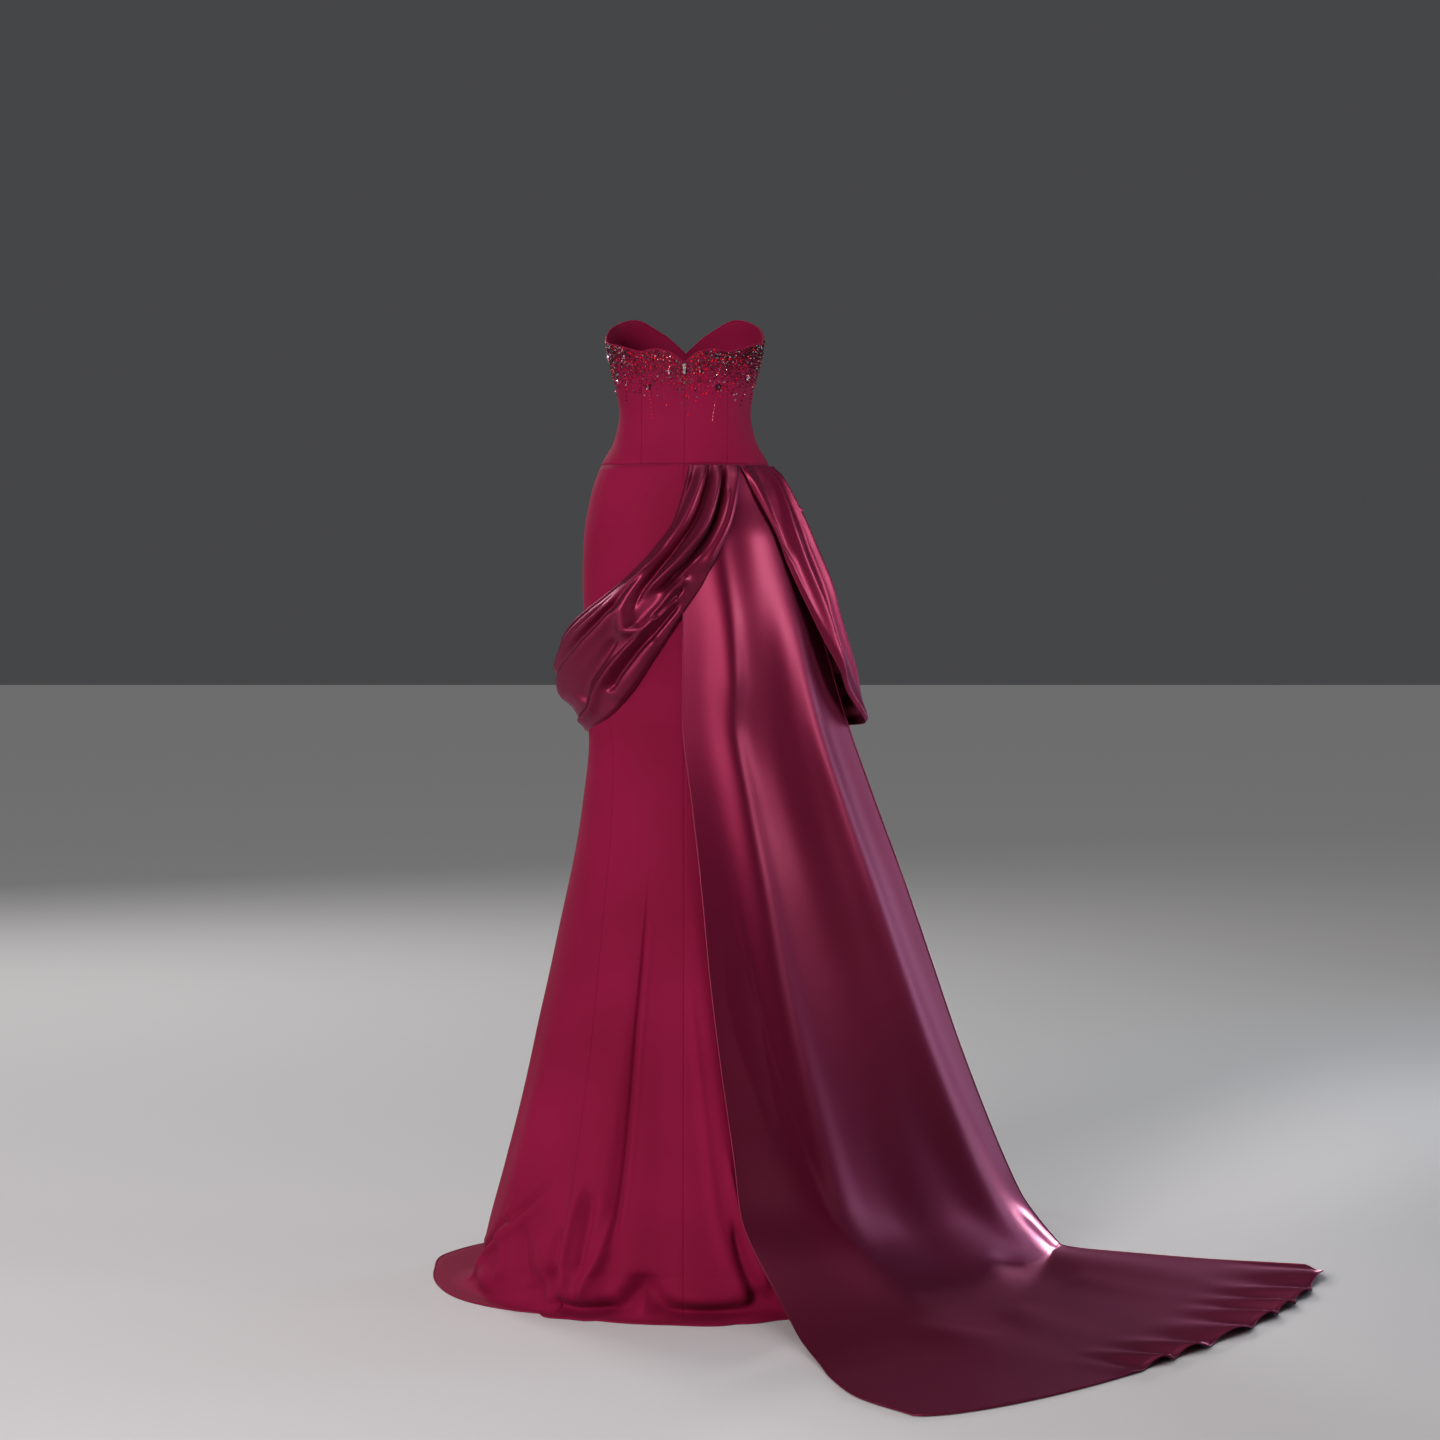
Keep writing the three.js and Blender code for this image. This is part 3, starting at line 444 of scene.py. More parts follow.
def clothGrainGroup():
    # fine crossing threads with a slow unevenness: a mask for the colour and a height for the bump
    group = bpy.data.node_groups.new("clothGrain", "ShaderNodeTree")
    group.interface.new_socket("Vector", in_out="INPUT", socket_type="NodeSocketVector")
    for name, way in (("Thread", "INPUT"), ("Patch", "INPUT"), ("Mask", "OUTPUT"), ("Height", "OUTPUT")):
        group.interface.new_socket(name, in_out=way, socket_type="NodeSocketFloat")
    nodes, links = group.nodes, group.links
    entry = nodes.new("NodeGroupInput")
    leave = nodes.new("NodeGroupOutput")
    fine, slow = (nodes.new("ShaderNodeTexNoise") for _ in range(2))
    setInputs(fine, {"Detail": 3, "Roughness": 0.7})
    setInputs(slow, {"Detail": 2})
    for noise, scale in ((fine, "Thread"), (slow, "Patch")):
        links.new(entry.outputs["Vector"], noise.inputs["Vector"])
        links.new(entry.outputs[scale], noise.inputs["Scale"])
    both = nodes.new("ShaderNodeMath")
    both.operation = "MULTIPLY_ADD"
    both.inputs[1].default_value = 0.35  # the threads' share beside the slow patches
    links.new(fine.outputs["Fac"], both.inputs[0])
    links.new(slow.outputs["Fac"], both.inputs[2])
    shift = nodes.new("ShaderNodeMath")
    shift.operation = "SUBTRACT"
    shift.use_clamp = True
    shift.inputs[1].default_value = 0.17  # brings the middle of the mask back to a half
    links.new(both.outputs[0], shift.inputs[0])
    links.new(shift.outputs[0], leave.inputs["Mask"])
    links.new(fine.outputs["Fac"], leave.inputs["Height"])
    return group


clothGrain = clothGrainGroup()


def placeGrain(nodes, links, thread, patch):
    place = nodes.new("ShaderNodeTexCoord")
    grain = nodes.new("ShaderNodeGroup")
    grain.node_tree = clothGrain
    setInputs(grain, {"Thread": thread, "Patch": patch})
    links.new(place.outputs["Object"], grain.inputs["Vector"])
    return grain


def rampBetween(nodes, links, factor, dark, light, low, high):
    ramp = nodes.new("ShaderNodeValToRGB")
    ramp.color_ramp.elements[0].position = low
    ramp.color_ramp.elements[0].color = (*dark, 1)
    ramp.color_ramp.elements[1].position = high
    ramp.color_ramp.elements[1].color = (*light, 1)
    links.new(factor, ramp.inputs["Fac"])
    return ramp


def paintedSheen(nodes, links, colour, finish):
    # paints a sheen: a lighter colour mixed into the base colour where the cloth is seen aslant
    facing = nodes.new("ShaderNodeLayerWeight")
    setInputs(facing, {"Blend": finish["edgeBlend"]})
    blend = nodes.new("ShaderNodeMix")
    blend.data_type = "RGBA"
    blend.inputs[7].default_value = finish["edge"]
    links.new(facing.outputs["Facing"], blend.inputs[0])
    links.new(colour, blend.inputs[6])
    return blend.outputs[2]


def grainedMaterial(name, finish, low=0.2, high=0.8):
    material, nodes, links, shader = newMaterial(name)
    grain = placeGrain(nodes, links, *finish["grain"])
    ramp = rampBetween(nodes, links, grain.outputs["Mask"], finish["shade"], finish["light"], low, high)
    colour = ramp.outputs["Color"]
    # the satin gets a painted sheen, a lighter base colour where it is seen aslant
    if "edge" in finish:
        colour = paintedSheen(nodes, links, colour, finish)
    links.new(colour, shader.inputs["Base Color"])
    if "bump" in finish:
        bump = nodes.new("ShaderNodeBump")
        setInputs(bump, finish["bump"])
        links.new(grain.outputs["Height"], bump.inputs["Height"])
        links.new(bump.outputs["Normal"], shader.inputs["Normal"])
    setInputs(shader, finish["surface"])
    return material


clothMaterials = {
    "crepe": grainedMaterial("burgundyCrepe", finishes["crepe"]),
    "satin": grainedMaterial("burgundySatin", finishes["satin"]),
}
zipSilver = grainedMaterial("zipSilver", finishes["zip"])
for node in ("zip_slider", "zip_pull"):
    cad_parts[node].data.materials.clear()
    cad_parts[node].data.materials.append(zipSilver)


# bodice

bodice = {
    "backSeam": 64, "frontSeam": 82, "cloth": 1.4, "columns": 36, "rows": 48, "crowding": 0.7,
    "firstHeight": 1300.0,
    "seamDip": 0.35, "seamWidth": 1.5,
    "pucker": (0.12, 9, 0.62, 17),  # rise, reach from the seam, rate, drift
    "ease": (0.35, 1.8, 1, 70, 11),
    "rollRadius": 1.2, "rollDrop": 0.4, "rollInset": 0.9, "rollPoints": 360,
    # node: seam it starts at, seam it ends at, (width, length) of the cut, its area
    "panels": {
        "bodice_back_left": ("-back", 0, (0.075, 0.175), 0.0109),
        "bodice_back_right": (0, "back", (0.075, 0.175), 0.0109),
        "bodice_side_back_left": (-90, "-back", (0.10, 0.19), 0.0147),
        "bodice_side_back_right": ("back", 90, (0.10, 0.19), 0.0147),
        "bodice_side_front_left": ("-front", -90, (0.12, 0.23), 0.0152),
        "bodice_side_front_right": (90, "front", (0.12, 0.23), 0.0152),
        "bodice_front": ("front", "front2", (0.25, 0.23), 0.039),
    },
}


def panelSides(seams, height):
    # angles of a panel's two sides, half a gap inside its seams, which are named or at a fixed angle
    backSeam = np.degrees(np.arcsin(bodice["backSeam"] / side(height)))
    frontSeam = 180 - np.degrees(np.arcsin(bodice["frontSeam"] / side(height)))
    sideBack = sideBackAngle(height)
    named = {"back": backSeam, "-back": -backSeam, "front": frontSeam, "-front": -frontSeam,
             "front2": 360 - frontSeam, "sideBack": sideBack, "-sideBack": -sideBack}
    low, high = (named[seam] if seam in named else np.full(height.shape, float(seam)) for seam in seams)
    gap = np.degrees(gown["seamGap"] / 2 / side(height))
    return low + gap, high - gap


def makeBodice():
    for name, (*seams, flat, area) in bodice["panels"].items():
        def surface(u, w, seams=seams):
            bottom = gown["hipSeam"] + gown["seamGap"] / 2
            height = np.full(u.shape, bodice["firstHeight"])
            for _ in range(5):  # each round places the points more closely on their seams and rows
                low, high = panelSides(seams, height)
                angle = mix(low, high, u)
                height = mix(bottom, topHeight(angle), w)
            relief = seamRelief(bodice, u, low, high, height) + undulation(angle, height, bodice["ease"])
            return gownPoint(angle, height, relief - hipDip(height - bottom))
        makeCloth(name, "crepe", bodice, bodice["columns"], surface, area)
    angles = np.linspace(-180, 180, bodice["rollPoints"], endpoint=False)
    edge = gownPoint(angles, topHeight(angles) - bodice["rollDrop"], -bodice["rollInset"])
    edgeRoll("bodice_top_roll", "crepe", bodice, edge, closed=True)
    print("bodice made")


makeBodice()

# skirt

skirt.update({
    "cloth": 1.4, "rows": 180, "crowding": 0.6, "seamDip": 0.4, "seamWidth": 1.6,
    "pucker": (0.15, 10, 0.45, 23),
    "ease": (0.7, 2.4, 0.6, 130, 21), "easeFrom": 120,
    "lowRows": (0.2, 0.07),  # the lowest fifth of the rows lies closer, in so much of the height
    "hemRise": 0.7, "hemTop": 9, "hemFade": 2, "lyingHeight": 6, "lyingFade": 24,
    "rollRadius": 1.4, "rollHeight": 1.5, "rollPoints": 540,
    # node: seam it starts at, seam it ends at, columns, (width, length) of the cut, its area
    "panels": {
        "skirt_back_left": ("-sideBack", 0, 130, (0.30, 1.29), 0.181),
        "skirt_back_right": (0, "sideBack", 80, (0.30, 1.29), 0.181),
        "skirt_side_left": (-140, "-sideBack", 100, (0.62, 1.30), 0.38),
        "skirt_side_right": ("sideBack", 140, 70, (0.60, 1.30), 0.36),
        "skirt_front": (140, 220, 90, (0.56, 1.32), 0.36),
    },
})


def makeSkirt():
    top = gown["hipSeam"] - gown["seamGap"] / 2
    for name, (*seams, columns, flat, area) in skirt["panels"].items():
        def surface(u, w, seams=seams):
            lowRows, lowReach = skirt["lowRows"]
            above = mix(lowReach, 1, (w - lowRows) / (1 - lowRows))
            fall = top * np.where(w < lowRows, w * lowReach / lowRows, above)
            low, high = panelSides(seams, fall)
            angle = mix(low, high, u)
            ease = undulation(angle, fall, skirt["ease"]) * smoothStep((top - fall) / skirt["easeFrom"])
            clear = smoothStep((fall - skirt["lyingHeight"]) / skirt["lyingFade"])
            hem = skirt["hemRise"] * smoothStep((skirt["hemTop"] - fall) / skirt["hemFade"])
            relief = seamRelief(skirt, u, low, high, fall) - hipDip(fall - top)
            return skirtPoint(angle, fall, (creaseRise(angle, fall) + ease) * clear + relief + hem)
        makeCloth(name, "crepe", skirt, columns, surface, area)
    angles = np.linspace(-180, 180, skirt["rollPoints"], endpoint=False)
    edge = skirtPoint(angles, np.zeros(angles.shape))
    edge[:, 2] = skirt["rollHeight"]
    edgeRoll("skirt_hem_roll", "crepe", skirt, edge, closed=True)
    print("skirt made")


makeSkirt()

# train

train = {
    "cloth": 0.9, "columns": 170, "rows": 210, "crowding": 0.3, "floorRun": 1429, "endRun": 1726,
    "sewnFrom": 4, "sewnTo": 98, "offSkirt": 3, "floorClearance": 0.4,
    "sewnBlend": 110, "foldBlend": 380, "floorBlend": 130, "swellBlend": 300, "squareness": 0.62,
    "flat": (1.25, 1.77), "area": 1.07,
    # run, height, left x and y, right x and y, bow
    "sections": [
        (0, 1227, 8, -106, 130, 16, 34), (110, 1117, 3, -126, 164, 12, 50),
        (222, 1010, -1, -130, 196, 12, 50), (375, 855, -2, -126, 240, 16, 42),
        (505, 727, 12, -133, 285, 30, 36), (630, 603, 26, -152, 331, 50, 34),
        (757, 479, 38, -176, 374, 75, 32), (885, 354, 54, -202, 417, 100, 32),
        (1015, 226, 73, -231, 466, 130, 34), (1097, 150, 83, -262, 498, 150, 37),
        (1160, 100, 105, -292, 522, 172, 40), (1222, 62, 129, -335, 548, 195, 46),
        (1288, 34, 149, -392, 569, 220, 54), (1356, 16, 166, -455, 583, 240, 64),
        (1429, 6, 185, -525, 592, 255, 78), (1506, 2, 200, -600, 645, 240, 92),
        (1598, 2, 226, -690, 768, 191, 110), (1726, 2, 296, -792, 957, 124, 128),
    ],
    # top, foot, half width, depth, swell where it runs out on the floor
    "folds": [(0.18, 0.3, 0.075, 11, 5), (0.4, 0.5, 0.1, -13, 0), (0.66, 0.88, 0.09, 15, 14)],
    "hem": {"waves": 11, "phase": -0.1, "unevenness": 1.2, "drifts": 2.7, "shift": 6, "lift": 13,
            "from": 0.28, "fade": 0.12, "reach": 110},
    # finer folds: half width, rise, and the places (across, run) each runs through
    "fineFolds": [
        (50, 7, [(0.1, 60), (0.16, 150), (0.22, 262), (0.25, 400)]),
        (56, 8, [(0.41, 110), (0.43, 430), (0.46, 860), (0.49, 1300)]),
        (50, 5, [(0.56, 150), (0.58, 300), (0.6, 430), (0.64, 700), (0.68, 1010)]),
        (7, 1.2, [(0.12, 600), (0.16, 860), (0.22, 1060), (0.3, 1220), (0.38, 1300)]),
        (14, 5, [(0.93, 1160), (0.945, 1300), (0.95, 1410)]),
        (26, 3, [(0.16, 1260), (0.24, 1400), (0.36, 1560)]),
        (22, -4, [(0.68, 1240), (0.72, 1360), (0.8, 1500)]),
        (30, 3, [(0.52, 1430), (0.46, 1570), (0.44, 1690)]),
        (24, 3, [(0.78, 1450), (0.74, 1600), (0.7, 1700)]),
    ],
    "span": 560, "foldFades": (0.25, 0.25),
    "ease": (1.2, 900, 0.5, 300, 31), "easeFrom": 200,
    "rollRadius": 1.1, "sidePoints": 160, "endPoints": 300,
}
trainColumn = [smoothCurve(train["sections"], column) for column in range(1, 7)]


def clearOfGown(points, margin):
    # pushes points out until they are clear of the gown by a margin
    height = np.maximum(points[:, 2], 1)
    depth = np.where(points[:, 1] < 0, back(height), front(height))
    angle = np.degrees(np.arctan2(points[:, 0] / side(height), -points[:, 1] / depth))
    wall = gownPoint(angle, height, margin)
    reach = np.hypot(points[:, 0], points[:, 1]) / np.hypot(wall[:, 0], wall[:, 1])
    points[:, :2] /= np.minimum(reach, 1)[:, None]
    return points


def trainPoint(across, run, extra=0.0):
    # across goes from the train's left edge 0 to its right edge 1, and run down the cloth
    across, run = np.broadcast_arrays(np.asarray(across, float), np.asarray(run, float))
    height, leftX, leftY, rightX, rightY, bow = (column(run) for column in trainColumn)
    chordX, chordY = rightX - leftX, rightY - leftY
    chord = np.hypot(chordX, chordY)
    onFloor = smoothStep((run - train["floorRun"]) / train["floorBlend"] + 1)
    hanging = smoothStep((run - train["sewnBlend"]) / train["foldBlend"]) * (1 - onFloor)
    swelling = smoothStep((train["endRun"] - run) / train["swellBlend"])
    hem = train["hem"]
    nearEnd = smoothStep((run - train["endRun"]) / hem["reach"] + 1)
    ripple = nearEnd * smoothStep((across - hem["from"]) / hem["fade"])
    drift = hem["unevenness"] * np.sin(2 * math.pi * hem["drifts"] * across)
    turns = 2 * math.pi * (hem["waves"] * across + hem["phase"]) + drift
    lyingShare = (run - train["floorRun"]) / (train["endRun"] - train["floorRun"])
    squareness = mix(1, train["squareness"], smoothStep(lyingShare))
    out = bow * np.maximum(0, 4 * across * (1 - across)) ** squareness
    out = out + hem["shift"] * ripple * np.sin(turns)
    lift = hem["lift"] * ripple * (0.5 + 0.5 * np.sin(turns + 1))
    for top, foot, halfWidth, depth, swell in train["folds"]:
        middle = mix(top, foot, run / train["floorRun"])
        out = out + depth * hanging * bell(across - middle, halfWidth)
        lift = lift + swell * onFloor * swelling * bell(across - foot, halfWidth)
    out = out + extra * (1 - onFloor) * smoothStep(run / train["sewnBlend"])
    lift = lift + np.maximum(extra, 0) * onFloor * swelling
    height = np.maximum(height, gown["satinWall"]) + train["floorClearance"] + lift
    x = leftX + chordX * across + chordY / chord * out
    y = leftY + chordY * across - chordX / chord * out
    standOff = gown["seamGap"] + gown["satinWall"]
    sewn = gownPoint(mix(train["sewnFrom"], train["sewnTo"], across), height, standOff)
    free = clearOfGown(np.column_stack([x, y, height]), standOff + train["offSkirt"])
    return mix(sewn, free, smoothStep(run / train["sewnBlend"])[:, None])


def trainCreases(across, run):
    slow = undulation(across, run, train["ease"]) * smoothStep(run / train["easeFrom"])
    return slow + foldRise(across, run, train["fineFolds"], (train["span"], 1), train["foldFades"])


def makeTrain():
    def surface(u, w):
        run = train["endRun"] * (1 - w)
        return trainPoint(u, run, trainCreases(u, run))
    makeCloth("train", "satin", train, train["columns"], surface, train["area"])
    down, along, end = train["sidePoints"], train["endPoints"], float(train["endRun"])
    across = np.concatenate([np.zeros(down), np.linspace(0, 1, along), np.ones(down)])
    run = np.concatenate([np.linspace(0, end, down), np.full(along, end), np.linspace(end, 0, down)])
    keep = np.concatenate([[True], (np.diff(across) != 0) | (np.diff(run) != 0)])
    edge = trainPoint(across[keep], run[keep], trainCreases(across[keep], run[keep]))
    edgeRoll("train_hem_roll", "satin", train, edge)
    print("train made")


makeTrain()

# swag

swag = {
    "cloth": 0.9, "rows": 130, "crowding": 0, "end": 20, "flat": (0.30, 0.56),
    # node: stations it starts and ends at, columns, area of the cut, the piece it is sewn over
    "panels": {
        "swag_left": (0, 8.396, 220, 0.085, "skirt_back_left_cloth"),
        "swag_front": (8.404, 14.296, 110, 0.1, "skirt_front_cloth"),
        "swag_right": (14.304, 20, 230, 0.1, "train_cloth"),
    },
    "puffs": (1.25, 0.75), "foldFades": (0.12, 0.12), "leftReach": 11, "rightReach": 14,
    "frontFrom": 9.2, "frontTo": 15.6, "frontFade": 1.8,
    "drift": (0.02, 1.1, 40),  # how far the pleats wander, rate, phase
    "seamShare": 0.4, "seamFade": 0.5,
    "turnUnder": 6, "turnWidth": 0.016, "turnFade": 0.6,  # both edges are folded under
    "ease": (0.5, 52, 120, 60, 41),
    # station, upper edge's angle, height and stand off, lower edge's, puff between them
    "stations": [
        (0, 3, 1227, 4.2, 38, 1227, 4.2, 1), (1, -1, 1187, 7, 32, 1190, 8, 9),
        (2, -6, 1145, 9, 26, 1148, 12, 14), (3, -15, 1108, 10, 19.5, 1107, 14, 17),
        (4, -27, 1072, 11, 11, 1057, 15, 19), (5, -44, 1035, 14, 0, 1009, 13, 21),
        (6, -62, 1008, 18, -15, 947, 8, 22), (7, -80, 984, 24, -32, 888, 6, 22),
        (8, -96, 966, 28, -53, 850, 5, 21), (9, -117, 957, 24, -84, 832, 5, 18),
        (10, -145, 956, 19, -122, 822, 9, 17), (11, -172, 962, 16, -158, 820, 14, 18),
        (12, -194, 976, 16, -190, 822, 22, 19), (13, -211, 1000, 16, -217, 826, 46, 21),
        (14, -224, 1032, 16, -243, 834, 98, 22), (15, -233, 1062, 15, -264, 842, 135, 18),
        (16, -240, 1092, 14, -274, 884, 106, 24), (17, -246, 1130, 12, -285, 975, 64, 24),
        (18, -252, 1172, 10, -299, 1078, 28, 12), (19, -256, 1204, 7, -312, 1160, 14, 5),
        (20, -258, 1227, 4.2, -321, 1227, 4.2, 1),
    ],
    # each side's own scale: length of a station, width of the cloth
    "leftScale": (52, 120), "rightScale": (80, 180),
    # half width, rise, and the places (station, down) that each fold or hollow runs through
    "leftFolds": [
        ((13, 6), 13, [(-0.8, 0.26), (0.3, 0.25), (1.25, 0.22), (2.45, 0.19), (3.92, 0.24), (4.85, 0.37),
            (5.4, 0.51), (5.7, 0.64), (5.5, 0.75), (4.95, 0.755), (4.45, 0.72), (4.1, 0.735),
            (4.2, 0.81), (4.5, 0.86)]),
        ((13, 6), 12, [(-0.8, 0.52), (0.3, 0.52), (1.15, 0.54), (2.4, 0.54), (3.45, 0.5), (4.1, 0.47),
            (4.6, 0.5), (4.85, 0.55)]),
        ((4, 3.5), 3, [(0.8, 0.77), (1.75, 0.775), (2.9, 0.77), (3.6, 0.72)]),
        (14, 9, [(-0.8, 0.9), (0.9, 0.91), (2.2, 0.93), (3.3, 0.9), (3.9, 0.9)]),
        ((4, 5), 9, [(4.5, 0.8), (4.98, 0.815), (5.5, 0.79), (6.15, 0.755), (6.6, 0.75), (7.28, 0.78),
            (8.12, 0.88), (9.2, 0.93)]),
        (6, 5, [(-0.8, 0.045), (1.05, 0.04), (3.42, 0.04), (5.15, 0.04), (6.28, 0.045), (7.68, 0.07),
            (8.5, 0.18), (10, 0.22)]),
        (6, 5, [(0.6, 0.13), (2.2, 0.13), (3.32, 0.13), (4.45, 0.135), (5.38, 0.145), (6.52, 0.15),
            (7.93, 0.18), (9.5, 0.3), (10.8, 0.3)]),
        ((4.5, 7), 9, [(3.0, 0.2), (4.3, 0.19), (5.15, 0.23), (6.12, 0.25), (7.52, 0.26), (8.28, 0.33),
            (9.5, 0.42), (10.8, 0.42)]),
        ((8, 12), 12, [(4.9, 0.3), (5.5, 0.4), (6, 0.43), (6.82, 0.43), (7.72, 0.46), (8.7, 0.6),
            (9.6, 0.62), (10.8, 0.6)]),
        (8, 5, [(5.6, 0.92), (6.22, 0.92), (6.68, 0.91), (7.4, 0.92)]),
        ((5, 4), -7, [(-0.8, 0.39), (0, 0.39), (1.2, 0.38), (2.5, 0.36), (3.6, 0.36), (4.4, 0.4),
            (5, 0.49), (5.38, 0.58)]),
        ((6, 4.5), -13, [(-0.8, 0.67), (0.2, 0.67), (1.2, 0.67), (2.4, 0.68), (3.4, 0.64),
            (4.1, 0.58), (4.7, 0.58)]),
        (4, -8, [(4.3, 0.77), (4.8, 0.785), (5.3, 0.78)]),
        (4.5, -10, [(4.7, 0.87), (4.98, 0.87), (5.5, 0.85), (6.15, 0.82), (6.6, 0.815), (7.28, 0.85)]),
        ((5, 8), -8, [(5.9, 0.6), (6.5, 0.62), (7.3, 0.65), (8.1, 0.76)]),
        (4, -5, [(5.2, 0.18), (6.2, 0.19), (7.5, 0.21), (8.2, 0.27)]),
        (4.5, -6, [(4.9, 0.3), (6, 0.33), (7.2, 0.35), (8.3, 0.44)]),
    ],
    "rightFolds": [
        (10, 10, [(20.8, 0.56), (19.7, 0.62), (19, 0.7), (18.4, 0.8), (17.75, 0.84), (17.25, 0.88),
            (16.7, 0.94), (16.1, 1.0)]),
        (9, 9, [(20.8, 0.36), (19.9, 0.4), (18.75, 0.43), (17.9, 0.49), (17.27, 0.58), (16.8, 0.65),
            (16.25, 0.71), (15.65, 0.82), (15.4, 0.96)]),
        (5, -9, [(20.6, 0.48), (19.2, 0.52), (18.6, 0.55), (17.75, 0.65), (17.35, 0.71), (16.9, 0.78),
            (16.5, 0.82), (16.15, 0.88)]),
        (11, -4, [(20.8, 0.78), (19.6, 0.82), (19.2, 0.86), (18.4, 0.94), (17.95, 0.98)]),
        (5, 5, [(20.8, 0.94), (19.9, 0.95), (19.2, 0.97), (18.6, 0.985), (18, 0.99)]),
        (11, 9, [(20.8, 0.12), (19.7, 0.12), (18.6, 0.14), (17.4, 0.2), (16.2, 0.28),
            (15.2, 0.34), (14.2, 0.3)]),
        (10, -6, [(20.6, 0.24), (19.4, 0.26), (18.2, 0.3), (17, 0.38), (16, 0.47), (15, 0.52)]),
        (9, 8, [(16.9, 0.5), (16.1, 0.57), (15.2, 0.66), (14.3, 0.7)]),
        (6, 4, [(18.9, 0.3), (18.62, 0.36), (18.5, 0.44)]),
    ],
    # down, half width, rise of the pleats that go on across the front
    "pleats": [
        (0.04, 0.03, 6), (0.16, 0.035, 7), (0.3, 0.045, 8), (0.46, 0.045, 8), (0.62, 0.045, 8),
        (0.78, 0.05, 8), (0.93, 0.035, 6),
    ],
}
swagColumn = [smoothCurve(swag["stations"], column) for column in range(1, 8)]


def swagPoint(at, down, extra=0.0):
    upAngle, upHeight, upOut, lowAngle, lowHeight, lowOut, puff = (column(at) for column in swagColumn)
    angle = mix(upAngle, lowAngle, down)
    height = mix(upHeight, lowHeight, down)
    crown = np.maximum(0, np.sin(math.pi * down)) * mix(*swag["puffs"], down)
    return gownPoint(angle, height, mix(upOut, lowOut, down) + puff * crown + extra)


def swagFolds(at, down):
    coming = smoothStep((at - swag["frontFrom"]) / swag["frontFade"])
    onFront = coming * smoothStep((swag["frontTo"] - at) / swag["frontFade"])
    rise = np.zeros(at.shape)
    if at.min() < swag["leftReach"]:
        rise = rise + foldRise(at, down, swag["leftFolds"], swag["leftScale"], swag["foldFades"])
    if at.max() > swag["rightReach"]:
        rise = rise + foldRise(at, down, swag["rightFolds"], swag["rightScale"], swag["foldFades"])
    drift, rate, phase = swag["drift"]
    for middle, halfWidth, height in swag["pleats"]:
        wander = drift * np.sin(at * rate + middle * phase)
        rise = rise + height * onFront * bell(down - middle - wander, halfWidth)
    fromSeam = np.minimum(at, swag["end"] - at)
    rise = rise * mix(swag["seamShare"], 1, smoothStep(fromSeam / swag["seamFade"]))
    edges = bell(down, swag["turnWidth"]) + bell(1 - down, swag["turnWidth"])
    rise = rise - swag["turnUnder"] * edges * smoothStep(fromSeam / swag["turnFade"])
    return rise + undulation(at, down, swag["ease"])


def makeSwag():
    for name, (start, end, columns, area, under) in swag["panels"].items():
        def surface(u, w, start=start, end=end):
            at, down = mix(end, start, u), 1 - w
            return swagPoint(at, down, swagFolds(at, down))
        makeCloth(name, "satin", swag, columns, surface, area)
    print("swag made")


makeSwag()

# beading

beading = {
    "seed": 5, "standOff": 0.4, "rounds": 40, "tries": 3000, "leastDrop": 1.6,
    # how many, how close, least and greatest width in metres, full depth below the edge, fading, limit
    "seeds": (5200, 1.62, 0.0013, 0.0018, 10, 12, 66),
    "stones": (560, 3.8, 0.0018, 0.0030, 12, 24, 84),
    # kind: colour, metallic, roughness
    "finishes": {
        "garnet_beads": ((0.060, 0.001, 0.007), 0.0, 0.14),
        "jet_beads": ((0.006, 0.003, 0.006), 0.0, 0.1),
        "ruby_stones": ((0.90, 0.006, 0.014), 0.0, 0.08),
        "rose_stones": ((0.78, 0.34, 0.46), 0.3, 0.08),
        "silver_stones": ((0.50, 0.44, 0.54), 0.75, 0.12),
    },
    # chances of each kind, in the order above: at the centre back, and at the sides
    "chances": {
        "seeds": ([0.56, 0.28, 0.15, 0.005, 0.005], [0.46, 0.46, 0.05, 0.01, 0.02]),
        "stones": ([0.05, 0.10, 0.68, 0.13, 0.04], [0.1, 0.42, 0.18, 0.14, 0.16]),
    },
    "sidesFrom": 55, "frontFrom": 115, "frontShare": 0.6,
    "stoneHeight": 0.0013, "stoneLengths": [1, 1, 1.5],
    "petals": (4, 6), "petalTurn": 0.3, "petalOut": 0.0033, "petalSize": (0.0026, 0.0050, 0.0018),
    "centreSize": (0.0034, 0.0034, 0.0025), "stringStep": 4.6, "stringSize": (0.0022, 0.0024, 0.0021),
    # angle, drop below the top edge, of each cluster of larger stones
    "clusters": [
        (-62, 7.5), (-51, 12), (-22, 10.5), (-12.5, 29), (-68.5, 46), (-31, 53), (25.5, 12.5), (36, 8.5),
        (12, 29.5), (29, 54), (60.5, 48.5), (88, 22), (-86, 24), (104, 28), (-104, 30), (118, 58),
        (-120, 56), (128, 24), (-128, 22), (143, 48), (-143, 46), (158, 24), (-158, 26), (172, 40),
        (-172, 38), (180, 16),
    ],
    # strings of small stones that hang from some clusters: angle, drop at each end, kind
    "strings": [
        (-30.5, 60, -28.5, 100, "ruby_stones"), (28.5, 60, 24.5, 104, "ruby_stones"),
        (-56.5, 55, -59.5, 82, "jet_beads"), (62.5, 56, 55.5, 87, "jet_beads"),
        (74.5, 62, 76, 88, "jet_beads"),
        (-119, 62, -114, 104, "ruby_stones"), (117, 64, 112, 104, "ruby_stones"),
        (144, 54, 141, 100, "jet_beads"), (-144, 52, -141, 98, "jet_beads"),
    ],
}


